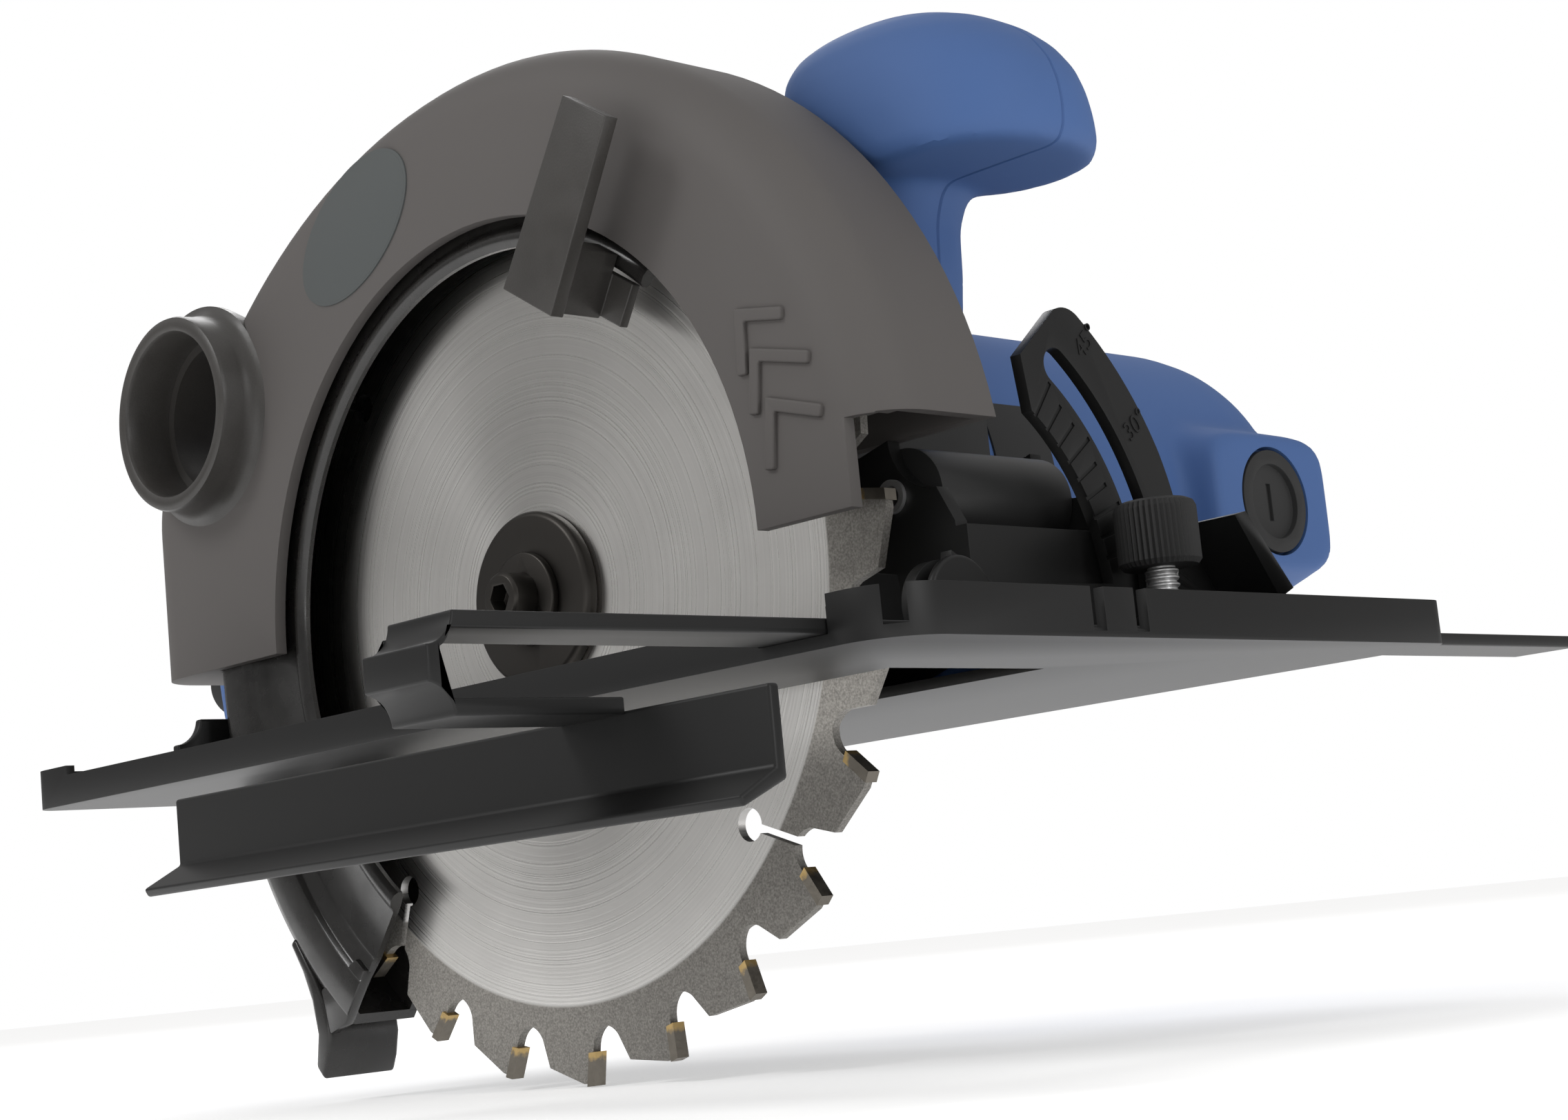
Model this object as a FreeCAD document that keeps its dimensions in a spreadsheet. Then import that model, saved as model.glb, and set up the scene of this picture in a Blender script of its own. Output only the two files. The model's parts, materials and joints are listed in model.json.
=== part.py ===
import FreeCAD, Part
import math
import os
import Sketcher
from FreeCAD import Placement, Rotation, Vector

# Hand-held circular saw, 185 mm blade, retracted lower guard, guide fence fitted.
# Millimetres. Origin: blade centre on the arbor axis. +X forward along the cut,
# +Y from the blade towards the motor, +Z up.

os.makedirs("parts", exist_ok=True)
doc = FreeCAD.newDocument("circular_saw")
sheet = doc.addObject("Spreadsheet::Sheet", "Dims")

SIZES = dict(
    blade_dia=185, blade_thick=1.8, kerf_thick=2.8, tooth_count=24, tooth_phase=1.37,
    gullet_radius=81.7, slot_hole_radius=71, slot_hole_dia=6, bore_radius=8,
    flange_radius=17, flange_thick=2.9, inner_flange_thick=3.8, washer_radius=9, washer_thick=1.7,
    bolt_head_radius=5, bolt_head_front=11, bolt_shank=3,
    guard_radius=105, guard_wall=2.6, guard_face=12.5, guard_back=16, guard_window=72.5,
    guard_end_front=95, guard_end_rear=121, guard_round=11,
    lower_radius=99.5, lower_wall=2.4, lower_face=9.6, lower_web=8.2, lower_bead=67,
    lower_start=48, lower_sweep=183, hub_outer=24, nose_radius=18, running_gap=0.06,
    port_x=94, port_z=55, port_outer=21, port_bore=17.5, port_front=21,
    hinge_x=85, hinge_z=4.5, hinge_boss=8.7, pin_radius=3, ear_near=8.8, ear_far=50,
    ear_thick=3, ear_radius=10,
    motor_x=23.95, motor_z=12.47, motor_radius=42, motor_front=56, motor_back=166, motor_wall=5.9, dome_deep=8, coil_end=126.5, tail_low=12,
    brush_y=141, cap_face=73, cap_radius=11, boss_half_y=20, boss_half_z=14.5,
    gear_pitch=22, pinion_pitch=5, gear_teeth=44, pinion_teeth=10, gear_front=24, gear_wide=11,
    shoe_bottom=27.5, sheet_steel=2, shoe_front=134.5, shoe_rear=113,
    shoe_right=47.5, shoe_left=101, side_lip=6.1, end_lip=8,
    slot_front=100, slot_rear=103.5, slot_right=13, slot_left=26,
    bevel_y=1, bevel_z=17.3, bevel_slot=54.2, bevel_slot_wide=6.5, quadrant_x=101.3,
    quadrant_thick=2.4, quadrant_in=42.5, quadrant_out=66.5, rivet_radius=8, tab_radius=7.8,
    bar_x=113, bar_wide=14, bar_thick=2.4, bar_near=121, bar_far=172,
    fence_y=88, fence_low=50, fence_top=36.5, fence_front=148, fence_rear=6,
    knob_radius=7.3, knob_low=11.5, knob_top=0.2, screw_y=45,
    seam_y=40, grip_half=16, cap_half=22, arm_y=18.5, arm_radius=130, arm_half=8, arm_thick=2.5,
)


class Dim:
    """A size that knows both its number and the sheet expression behind it."""

    def __init__(self, value, text):
        self.value = float(value)
        self.text = text

    def _join(self, other, sign, value):
        other = as_dim(other)
        return Dim(value, "(%s %s %s)" % (self.text, sign, other.text))

    def __add__(self, other):
        return self._join(other, "+", self.value + as_dim(other).value)

    def __sub__(self, other):
        return self._join(other, "-", self.value - as_dim(other).value)

    def __mul__(self, other):
        return self._join(other, "*", self.value * as_dim(other).value)

    def __truediv__(self, other):
        return self._join(other, "/", self.value / as_dim(other).value)

    def __radd__(self, other):
        return as_dim(other) + self

    def __rsub__(self, other):
        return as_dim(other) - self

    def __rmul__(self, other):
        return as_dim(other) * self

    def __neg__(self):
        return as_dim(0) - self


def as_dim(size):
    return size if isinstance(size, Dim) else Dim(size, "%.6f" % size)


class Sizes:
    """The driving dimensions, read as sizes.name."""


sizes = Sizes()
for row, (alias, number) in enumerate(SIZES.items(), start=1):
    sheet.set("A%d" % row, alias)
    sheet.set("B%d" % row, "%s" % number)
    sheet.setAlias("B%d" % row, alias)
    setattr(sizes, alias, Dim(number, "Dims." + alias))
doc.recompute()

PLANES = {"Y": "XZ_Plane", "X": "YZ_Plane", "Z": "XY_Plane"}
finished = {}


def new_body(label):
    body = doc.addObject("PartDesign::Body", label)
    body.Label = label
    finished[label] = body
    return body


def plane_sketch(body, axis, offset):
    """A sketch square to the axis, at that offset along it."""
    sketch = body.newObject("Sketcher::SketchObject", "Sketch")
    plane = [f for f in body.Origin.OriginFeatures if f.Role == PLANES[axis]][0]
    sketch.AttachmentSupport = [(plane, "")]
    sketch.MapMode = "FlatFace"
    place = -as_dim(offset) if axis == "Y" else as_dim(offset)
    sketch.AttachmentOffset = Placement(Vector(0, 0, place.value), Rotation())
    sketch.setExpression("AttachmentOffset.Base.z", place.text)
    return sketch


def pin_point(sketch, geometry, end, point):
    for kind, size in zip(("DistanceX", "DistanceY"), point):
        size = as_dim(size)
        if size.value == 0.0:
            axis_line = -2 if kind == "DistanceX" else -1
            sketch.addConstraint(Sketcher.Constraint("PointOnObject", geometry, end, axis_line))
            continue
        index = sketch.addConstraint(
            Sketcher.Constraint(kind, -1, 1, geometry, end, size.value))
        if "Dims" in size.text:
            sketch.setExpression("Constraints[%d]" % index, size.text)


def draw_circle(sketch, centre, radius):
    middle = Vector(as_dim(centre[0]).value, as_dim(centre[1]).value, 0)
    geometry = sketch.addGeometry(
        Part.Circle(middle, Vector(0, 0, 1), as_dim(radius).value), False)
    pin_point(sketch, geometry, 3, centre)
    index = sketch.addConstraint(
        Sketcher.Constraint("Radius", geometry, as_dim(radius).value))
    sketch.setExpression("Constraints[%d]" % index, as_dim(radius).text)


def arc_between(start, end, radius):
    """The short arc between two points, and whether it runs counter-clockwise."""
    half = (end - start) * 0.5
    size = max(abs(radius), half.Length)
    rise = math.sqrt(max(size ** 2 - half.Length ** 2, 0.0))
    left = Vector(-half.y, half.x, 0).normalize()
    centre = start + half - left * math.copysign(rise, radius)
    forward = radius < 0
    one, two = (start, end) if forward else (end, start)
    first = math.atan2(one.y - centre.y, one.x - centre.x)
    last = math.atan2(two.y - centre.y, two.x - centre.x)
    if last <= first:
        last += 2 * math.pi
    circle = Part.Circle(centre, Vector(0, 0, 1), size)
    return Part.ArcOfCircle(circle, first, last), forward


def draw_loop(sketch, corners):
    """A closed outline: (x, y) ends a line, (x, y, radius) ends an arc.

    A positive radius bows to the left of the way along, a negative one to the right.
    """
    count = len(corners)
    points = [Vector(as_dim(c[0]).value, as_dim(c[1]).value, 0) for c in corners]
    ends = []
    for number, corner in enumerate(corners):
        start, end = points[number - 1], points[number]
        if len(corner) == 3:
            radius = as_dim(corner[2])
            arc, forward = arc_between(start, end, radius.value)
            edge = sketch.addGeometry(arc, False)
            index = sketch.addConstraint(Sketcher.Constraint("Radius", edge, arc.Radius))
            if "Dims" in radius.text and radius.value > 0:
                sketch.setExpression("Constraints[%d]" % index, radius.text)
        else:
            edge = sketch.addGeometry(Part.LineSegment(start, end), False)
            forward = True
        ends.append((edge, 1 if forward else 2, 2 if forward else 1))
    for number in range(count):
        edge, _, last = ends[number]
        follower, first, _ = ends[(number + 1) % count]
        sketch.addConstraint(Sketcher.Constraint("Coincident", edge, last, follower, first))
        pin_point(sketch, edge, last, corners[number][:2])


def draw(sketch, loops):
    for loop in loops:
        if loop[0] == "circle":
            draw_circle(sketch, loop[1], loop[2])
        else:
            draw_loop(sketch, loop)


def check_feature(feature):
    doc.recompute()
    if "Invalid" in feature.State or "Error" in feature.State:
        raise RuntimeError("%s: %s" % (feature.Label, feature.State))
    return feature


def pad(body, axis, loops, low, high, taper=0):
    """Material between two stations on an axis."""
    low, high = as_dim(low), as_dim(high)
    sketch = plane_sketch(body, axis, high if axis == "Y" else low)
    draw(sketch, loops)
    feature = body.newObject("PartDesign::Pad", "Pad")
    feature.Profile = sketch
    feature.setExpression("Length", (high - low).text)
    if taper:
        feature.TaperAngle = taper
    return check_feature(feature)


def pocket(body, axis, loops, low, high):
    """A cut between two stations on an axis; the volume must drop."""
    low, high = as_dim(low), as_dim(high)
    before = body.Tip.Shape.Volume
    sketch = plane_sketch(body, axis, high if axis == "Y" else low)
    draw(sketch, loops)
    feature = body.newObject("PartDesign::Pocket", "Pocket")
    feature.Profile = sketch
    feature.Reversed = True
    feature.setExpression("Length", (high - low).text)
    check_feature(feature)
    if feature.Shape.Volume > before - 1e-3:
        raise RuntimeError("%s: a cut removed nothing" % body.Label)
    return feature


def soften(body, radius, chosen, kind="Fillet"):
    """Rounds or chamfers the edges that a rule chooses."""
    base = body.Tip
    names = ["Edge%d" % (n + 1) for n, edge in enumerate(base.Shape.Edges) if chosen(edge)]
    feature = body.newObject("PartDesign::" + kind, kind)
    feature.Base = (base, names)
    if kind == "Fillet":
        feature.setExpression("Radius", as_dim(radius).text)
    else:
        feature.setExpression("Size", as_dim(radius).text)
    return check_feature(feature)


def edges_at(axis, level, least=0.0):
    """Chooses the edges lying flat at one station on an axis."""
    at = {"X": 0, "Y": 1, "Z": 2}[axis]

    def chosen(edge):
        spots = [v.Point[at] for v in edge.Vertexes] + [edge.CenterOfMass[at]]
        return all(abs(s - level) < 0.01 for s in spots) and edge.Length >= least
    return chosen


def edges_along(axis, corners, reach=0.6):
    """Chooses straight edges parallel to an axis that stand at the given corners."""
    keep = [n for n in (0, 1, 2) if n != {"X": 0, "Y": 1, "Z": 2}[axis]]

    def chosen(edge):
        if len(edge.Vertexes) != 2:
            return False
        one, two = edge.Vertexes[0].Point, edge.Vertexes[1].Point
        if any(abs(one[n] - two[n]) > 1e-4 for n in keep):
            return False
        spot = (one[keep[0]], one[keep[1]])
        return any(math.hypot(spot[0] - c[0], spot[1] - c[1]) < reach for c in corners)
    return chosen


def polar(radius, degrees, centre=(0, 0)):
    """A point at that radius and angle, as two sizes."""
    turn_by = math.radians(degrees)
    return (as_dim(centre[0]) + as_dim(radius) * math.cos(turn_by),
            as_dim(centre[1]) + as_dim(radius) * math.sin(turn_by))


def rod(label, axis, centre, radius, low, high, hole=None):
    """A round bar or ring along an axis."""
    body = new_body(label)
    loops = [("circle", centre, radius)]
    if hole is not None:
        loops.append(("circle", centre, hole))
    pad(body, axis, loops, low, high)
    return body


def box_loop(left, low, right, high):
    return [(left, low), (right, low), (right, high), (left, high)]


S = sizes
ORIGIN = (0, 0)
MOTOR = (S.motor_x, S.motor_z)
HINGE = (S.hinge_x, S.hinge_z)
BEVEL = (S.bevel_y, -S.bevel_z)
DEPTH_BOLT = (S.hinge_x - S.arm_radius, S.hinge_z)
TRIGGER_PIN = (-42, 76)
plate_top = -(S.shoe_bottom - S.sheet_steel)


# ---- blade and spindle ---------------------------------------------------------------------

def repeat_about(body, feature, count):
    """Repeats a feature evenly about the arbor line."""
    pattern = body.newObject("PartDesign::PolarPattern", "Ring")
    pattern.Originals = [feature]
    line = [f for f in body.Origin.OriginFeatures if f.Role == "Y_Axis"][0]
    pattern.Axis = (line, [""])
    pattern.Angle = 360
    pattern.Occurrences = count
    body.Tip = pattern
    return check_feature(pattern)


def build_blade():
    body = new_body("saw_blade")
    half = S.blade_thick / 2
    radius = S.blade_dia / 2
    pad(body, "Y", [("circle", ORIGIN, radius - 0.5), ("circle", ORIGIN, S.bore_radius)], -half, half)
    tip = SIZES["tooth_phase"]
    gullet = [polar(radius + 2, tip + 0.2), polar(S.gullet_radius + 3.6, tip + 1.6),
              polar(S.gullet_radius, tip + 4.0) + (5.0,),
              polar(S.gullet_radius + 2.2, tip + 6.6) + (5.0,),
              polar(radius - 3.4, tip + 8.0), polar(radius - 0.4, tip + 14.4),
              polar(radius + 2, tip + 14.6)]
    first = pocket(body, "Y", [gullet], -half, half)
    repeat_about(body, first, SIZES["tooth_count"])
    for quarter in range(4):
        angle = 46.9 + 90.0 * quarter
        hole = polar(S.slot_hole_radius, angle)
        pocket(body, "Y", [("circle", hole, S.slot_hole_dia / 2)], -half, half)
        slot = [polar(S.slot_hole_radius, angle - 0.7), polar(S.slot_hole_radius, angle + 0.7),
                polar(S.gullet_radius + 3, angle + 4.6), polar(S.gullet_radius + 3, angle + 3.4)]
        pocket(body, "Y", [slot], -half, half)


def build_carbide():
    """The brazed tips, one solid each, joined in one node."""
    solids = []
    half = SIZES["kerf_thick"] / 2
    radius = SIZES["blade_dia"] / 2
    for index in range(SIZES["tooth_count"]):
        corners = []
        angle = SIZES["tooth_phase"] + 360.0 / SIZES["tooth_count"] * index
        for reach, lead in ((radius, 0.0), (radius - 6.2, 0.9), (radius - 6.2, 2.2), (radius, 1.25)):
            spot = math.radians(angle + lead)
            corners.append(Vector(reach * math.cos(spot), -half, reach * math.sin(spot)))
        face = Part.Face(Part.makePolygon(corners + corners[:1]))
        solids.append(face.extrude(Vector(0, 2 * half, 0)))
    tips = doc.addObject("Part::Feature", "carbide_tips")
    tips.Label = "carbide_tips"
    tips.Shape = Part.makeCompound(solids).cut(finished["saw_blade"].Shape)
    finished["carbide_tips"] = tips


def build_spindle():
    blade_half = S.blade_thick / 2
    flange_front = -blade_half - S.flange_thick
    washer_front = flange_front - S.washer_thick
    outer = rod("outer_flange", "Y", ORIGIN, S.flange_radius, flange_front, -blade_half,
                hole=S.bolt_shank + S.running_gap)
    soften(outer, 0.8, edges_at("Y", flange_front.value, 60), "Chamfer")
    rod("bolt_washer", "Y", ORIGIN, S.washer_radius, washer_front, flange_front,
        hole=S.bolt_shank + S.running_gap)
    bolt = new_body("arbor_bolt")
    pad(bolt, "Y", [("circle", ORIGIN, S.bolt_head_radius)], -S.bolt_head_front, washer_front)
    pad(bolt, "Y", [("circle", ORIGIN, S.bolt_shank)], washer_front, 12)
    key = [polar(2.89, 60 * side) for side in range(6)]
    pocket(bolt, "Y", [key], -S.bolt_head_front, -S.bolt_head_front + 3.5)
    soften(bolt, 0.6, edges_at("Y", -S.bolt_head_front.value, 20), "Chamfer")
    inner = new_body("inner_flange")
    pad(inner, "Y", [("circle", ORIGIN, S.flange_radius), ("circle", ORIGIN, 6)],
        blade_half, blade_half + S.inner_flange_thick)
    pad(inner, "Y", [("circle", ORIGIN, S.bore_radius - S.running_gap), ("circle", ORIGIN, 6)],
        -blade_half, blade_half)
    spindle = new_body("output_spindle")
    pad(spindle, "Y", [("circle", ORIGIN, 6)], -blade_half, S.gear_front)
    pad(spindle, "Y", [("circle", ORIGIN, 7.5)], S.gear_front - 4, 50)
    pocket(spindle, "Y", [("circle", ORIGIN, S.bolt_shank)], -blade_half, 12)
    spaced_gear("driven_gear", ORIGIN, S.gear_pitch, SIZES["gear_teeth"],
                27.5 + 180.0 / SIZES["gear_teeth"], 7.5)


def spaced_gear(label, centre, pitch_radius, teeth, phase, bore):
    """A spur gear with straight-sided teeth and a clear backlash."""
    body = new_body(label)
    step = 360.0 / teeth
    root, tip = pitch_radius - 1.1, pitch_radius + 0.75
    back = S.gear_front + S.gear_wide
    pad(body, "Y", [("circle", centre, tip), ("circle", centre, bore)], S.gear_front, back)

    def cut_gap(middle):
        gap = [polar(root, middle - 0.23 * step, centre), polar(root, middle + 0.23 * step, centre),
               polar(tip + 0.5, middle + 0.42 * step, centre),
               polar(tip + 0.5, middle - 0.42 * step, centre)]
        return pocket(body, "Y", [gap], S.gear_front, back)
    if centre == ORIGIN:
        repeat_about(body, cut_gap(phase + step / 2), teeth)
        return
    for number in range(teeth):
        cut_gap(phase + step / 2 + step * number)


# ---- guards --------------------------------------------------------------------------------

def build_upper_guard():
    """A deep cover over the blade: flat face, round shoulder, open underside."""
    body = new_body("upper_guard")
    face, back = -S.guard_face, S.guard_back
    rear_x = -S.guard_end_rear
    outline = [(S.guard_radius + 1.3, 0), polar(S.guard_radius, 9),
               (0, S.guard_radius, -S.guard_radius), (-80, 78, -132.0), (rear_x, 46.7), (rear_x, 0)]
    pad(body, "Y", [outline], face, back)
    soften(body, 30, edges_along("Y", [(rear_x.value, 46.7)]))
    face_edges = edges_at("Y", face.value, 10)
    soften(body, S.guard_round, lambda edge: face_edges(edge) and edge.CenterOfMass.z > 1)
    # the chamber steps in under the round shoulder
    for cavity, begin in ((S.guard_radius - S.guard_wall, -6), (S.guard_radius - 4.7, -8.2),
                          (S.guard_radius - 7, face + S.guard_wall)):
        chamber = [(cavity, -30), (cavity, 0), (0, cavity, -cavity), (-cavity, 0, -cavity), (-cavity, -30)]
        pocket(body, "Y", [chamber], begin, back - 3)
    window = [(-S.guard_window, -30), (S.guard_window, -30), (S.guard_window, 0),
              (0, S.guard_window, -S.guard_window), (-S.guard_window, 0, -S.guard_window)]
    pocket(body, "Y", [window], face - 1, face + S.guard_wall + 1)
    # room at the front for the depth hinge, with a plain cheek left beside it
    pocket(body, "Y", [box_loop(60, -30, 112, 15.2)], face + S.guard_wall, back + 1)
    pocket(body, "Y", [box_loop(S.guard_end_front, -30, 112, 15)], face - 1, back + 1)
    # the gearcase nose passes through the back wall
    pocket(body, "Y", [("circle", ORIGIN, 28)], back - 4, back + 1)
    pocket(body, "Y", [("circle", (-S.port_x, S.port_z), S.port_outer)], face - 1, 9)


def build_dust_port():
    body = new_body("dust_port")
    port = (-S.port_x, S.port_z)
    pad(body, "Y", [("circle", port, S.port_outer)], -S.port_front, 9)
    seat = -S.port_front + 11
    pocket(body, "Y", [("circle", port, S.port_bore)], -S.port_front, seat)
    pocket(body, "Y", [("circle", port, S.port_bore - 2)], seat, 6.5)
    inside = S.guard_radius - S.guard_wall
    pocket(body, "Y", [("circle", ORIGIN, inside)], -S.guard_face + S.guard_wall, 10)
    soften(body, 0.9, edges_at("Y", -S.port_front.value, 100))


def build_badge():
    body = new_body("badge_plate")
    middle = polar(88.5, 113)
    slant = 28.0
    ring = []
    long_way, short_way = 20.0, 11.5
    for corner in range(24):
        angle = math.radians(15.0 * corner)
        across = long_way * math.cos(angle)
        up = short_way * math.sin(angle)
        ring.append((middle[0] + across * math.cos(math.radians(slant)) - up * math.sin(math.radians(slant)),
                     middle[1] + across * math.sin(math.radians(slant)) + up * math.cos(math.radians(slant))))
    pad(body, "Y", [ring], -S.guard_face - 0.4, -S.guard_face)


def build_lower_guard():
    body = new_body("lower_guard")
    first = SIZES["lower_start"]
    last = first + SIZES["lower_sweep"]
    rim_in = S.lower_radius - S.lower_wall
    web_in = S.lower_web - 2

    # the rim steps in towards its face, under the fixed guard's shoulder
    pad(body, "Y", [swept(S.lower_radius, rim_in, first, last)], -6.5, S.lower_web)
    pad(body, "Y", [swept(S.lower_radius - 1.2, rim_in - 1.2, first, last)], -8.1, -6.4)
    pad(body, "Y", [swept(S.lower_radius - 2.7, S.lower_bead, first, last)],
        -S.lower_face, -S.lower_face + 2)
    pad(body, "Y", [swept(S.lower_radius, 22, first, last)], web_in, S.lower_web)
    pad(body, "Y", [("circle", ORIGIN, S.hub_outer)], 5.4, 11)
    pocket(body, "Y", [("circle", ORIGIN, S.nose_radius + S.running_gap)], 5.4, 11)
    # flared lip on the leading end
    lip = [polar(rim_in, last - 10), polar(S.lower_radius, last - 12),
           polar(104, last - 6) + (40.0,), polar(113, last - 1.2) + (30.0,),
           polar(112, last + 0.4), polar(rim_in, last)]
    pad(body, "Y", [lip], -S.lower_face, S.lower_web)


def swept(outer, inner, begin, end):
    """A ring sector's outline, drawn counter-clockwise in four arcs."""
    outer, inner = as_dim(outer), as_dim(inner)
    steps = 3
    step = (end - begin) / float(steps)
    loop = [polar(outer, begin)]
    for number in range(1, steps + 1):
        loop.append(polar(outer, begin + step * number) + (-outer.value,))
    loop.append(polar(inner, end))
    for number in range(1, steps + 1):
        loop.append(polar(inner, end - step * number) + (inner.value,))
    return loop


def build_retract_lever():
    body = new_body("retract_lever")
    out, side = polar(1, 57), polar(1, 147)

    def spot(along, across):
        return (out[0].value * along + side[0].value * across,
                out[1].value * along + side[1].value * across)
    grip = [spot(58, -7.5), spot(95, -6.5), spot(95, 6.5), spot(58, 7.5)]
    pad(body, "Y", [grip], -S.guard_face - 12.3, -S.guard_face - 9.3)
    neck = [spot(57.5, -3), spot(70, -3), spot(70, 3), spot(57.5, 3)]
    pad(body, "Y", [neck], -S.guard_face - 9.3, -S.lower_face)
    foot_hook = [spot(58, -9), spot(66.3, -9), spot(66.3, 9), spot(58, 9)]
    pad(body, "Y", [foot_hook], -S.lower_face, -S.lower_face + 2)


# ---- gearcase, motor -----------------------------------------------------------------------

def build_gearcase():
    body = new_body("gear_housing")
    back, front = S.motor_front, S.guard_back
    outline = [(-34, -18), (-22, -22), (40, -24), (60, -18), (68, 0), (68, 36), (52, 52),
               (0, 54), (-26, 40), (-34, 20)]
    pad(body, "Y", [outline], front, back)
    soften(body, 5, edges_along("Y", [(-34, -18), (60, -18), (68, 0), (68, 36), (52, 52), (-34, 20)]))
    pad(body, "Y", [("circle", ORIGIN, S.nose_radius)], 5.2, front)
    pad(body, "Y", [("circle", HINGE, S.hinge_boss)], 12, 46.8)
    pad(body, "Y", [[(60, -4), (85, -4), (85, 13), (60, 16)]], 17, 42)
    pocket(body, "Y", [("circle", HINGE, S.pin_radius + S.running_gap)], 11, 48)
    pocket(body, "Y", [("circle", ORIGIN, S.gear_pitch + 2)], 22, 38)
    pocket(body, "Y", [("circle", MOTOR, 13)], 22, back + 1)
    pocket(body, "Y", [("circle", ORIGIN, 13)], 11, 22.5)
    pocket(body, "Y", [("circle", ORIGIN, 9)], 5, 12)
    pocket(body, "Y", [("circle", ORIGIN, 11)], 37, 50.5)
    rod("spindle_bearing_front", "Y", ORIGIN, 13, 11, 20, hole=6 + 0.02)
    rod("spindle_bearing_rear", "Y", ORIGIN, 11, 41, 50, hole=7.5 + 0.02)
    rod("motor_bearing_front", "Y", MOTOR, 13, 44, 53, hole=5 + 0.02)
    rod("motor_bearing_rear", "Y", MOTOR, 11, 152, 161, hole=4 + 0.02)
    rod("guard_spring", "Y", ORIGIN, 27.5, 11.4, 12.8, hole=24.5)


def build_motor_housing():
    body = new_body("motor_housing")
    front, back = S.motor_front, S.motor_back
    inside = S.motor_radius - S.motor_wall
    pad(body, "Y", [("circle", MOTOR, S.motor_radius)], front, back - S.dome_deep)
    boss_y, boss_z = S.boss_half_y, S.boss_half_z
    for way in (1, -1):
        reach = S.motor_x + way * (S.cap_face - S.motor_x)
        inner = S.motor_x + way * 20
        low, high = (inner, reach) if way > 0 else (reach, inner)
        pad(body, "X", [box_loop(S.brush_y - boss_y, S.motor_z - boss_z,
                                 S.brush_y + boss_y, S.motor_z + boss_z)], low, high)
    pad(body, "Y", [("circle", MOTOR, S.motor_radius - S.dome_deep)], back - S.dome_deep, back, taper=45)
    pocket(body, "Y", [("circle", MOTOR, inside)], front - 1, S.coil_end)
    pocket(body, "Y", [("circle", MOTOR, 27)], front - 1, back - 14)
    # the underside lifts behind the windings
    pocket(body, "X", [[(S.coil_end, -S.shoe_bottom + 2.6), (S.coil_end, -S.shoe_bottom - 20),
                        (back + 1, -S.shoe_bottom - 20), (back + 1, -S.tail_low)]],
           S.motor_x - 45, S.motor_x + 45)
    pocket(body, "Y", [("circle", MOTOR, 11)], back - 15, back - 5)
    brush = (S.brush_y, S.motor_z)
    pocket(body, "X", [("circle", brush, 8)], S.motor_x - 60, S.motor_x + 60)
    for way in (1, -1):
        reach = S.motor_x + way * (S.cap_face - S.motor_x)
        low, high = (reach - 3, reach + 1) if way > 0 else (reach - 1, reach + 3)
        pocket(body, "X", [("circle", brush, S.cap_radius + 0.6)], low, high)
    # a flat underside clears the shoe
    pocket(body, "Y", [box_loop(S.motor_x - 45, -S.shoe_bottom - 10, S.motor_x + 45,
                                -S.shoe_bottom + 2.6)], front - 1, back + 1)
    for row in range(5):
        station = 78 + 7 * row
        pocket(body, "Z", [box_loop(S.motor_x - 18, station, S.motor_x + 18, station + 3)],
               S.motor_z - 50, S.motor_z - 20)


def build_motor_parts():
    rod("stator_core", "Y", MOTOR, S.motor_radius - S.motor_wall - 0.2, 70, 116, hole=25.5)
    for name, middle in (("upper", 90), ("lower", 270)):
        body = new_body("field_coil_" + name)
        loop = [polar(35, middle - 52, MOTOR), polar(35, middle, MOTOR) + (-35.0,),
                polar(35, middle + 52, MOTOR) + (-35.0,), polar(27, middle + 52, MOTOR),
                polar(27, middle, MOTOR) + (27.0,), polar(27, middle - 52, MOTOR) + (27.0,)]
        pad(body, "Y", [loop], 116, 126)
    for name, way in (("front", 1), ("rear", -1)):
        near = S.motor_x + way * 14.2
        far = S.motor_x + way * 28
        holder_far = S.motor_x + way * 45
        brush = new_body("carbon_brush_" + name)
        ends = (near, far) if way > 0 else (far, near)
        pad(brush, "X", [box_loop(S.brush_y - 4, S.motor_z - 3, S.brush_y + 4, S.motor_z + 3)], *ends)
        holder = new_body("brush_holder_" + name)
        start = S.motor_x + way * 17
        ends = (start, holder_far) if way > 0 else (holder_far, start)
        pad(holder, "X", [("circle", (S.brush_y, S.motor_z), 7.9),
                          box_loop(S.brush_y - 4, S.motor_z - 3, S.brush_y + 4, S.motor_z + 3)], *ends)
        cap = new_body("brush_cap_" + name)
        outer = S.motor_x + way * (S.cap_face - S.motor_x)
        seat = S.motor_x + way * (S.cap_face - S.motor_x - 3)
        ends = (seat, outer) if way > 0 else (outer, seat)
        pad(cap, "X", [("circle", (S.brush_y, S.motor_z), S.cap_radius)], *ends)
        cut = (outer - 1.4, outer + 1) if way > 0 else (outer - 1, outer + 1.4)
        pocket(cap, "X", [("circle", (S.brush_y, S.motor_z), 8)], *cut)
        slit = (outer - 2.4, outer) if way > 0 else (outer, outer + 2.4)
        pocket(cap, "X", [box_loop(S.brush_y - 0.8, S.motor_z - 4, S.brush_y + 0.8, S.motor_z + 4)], *slit)


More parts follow.
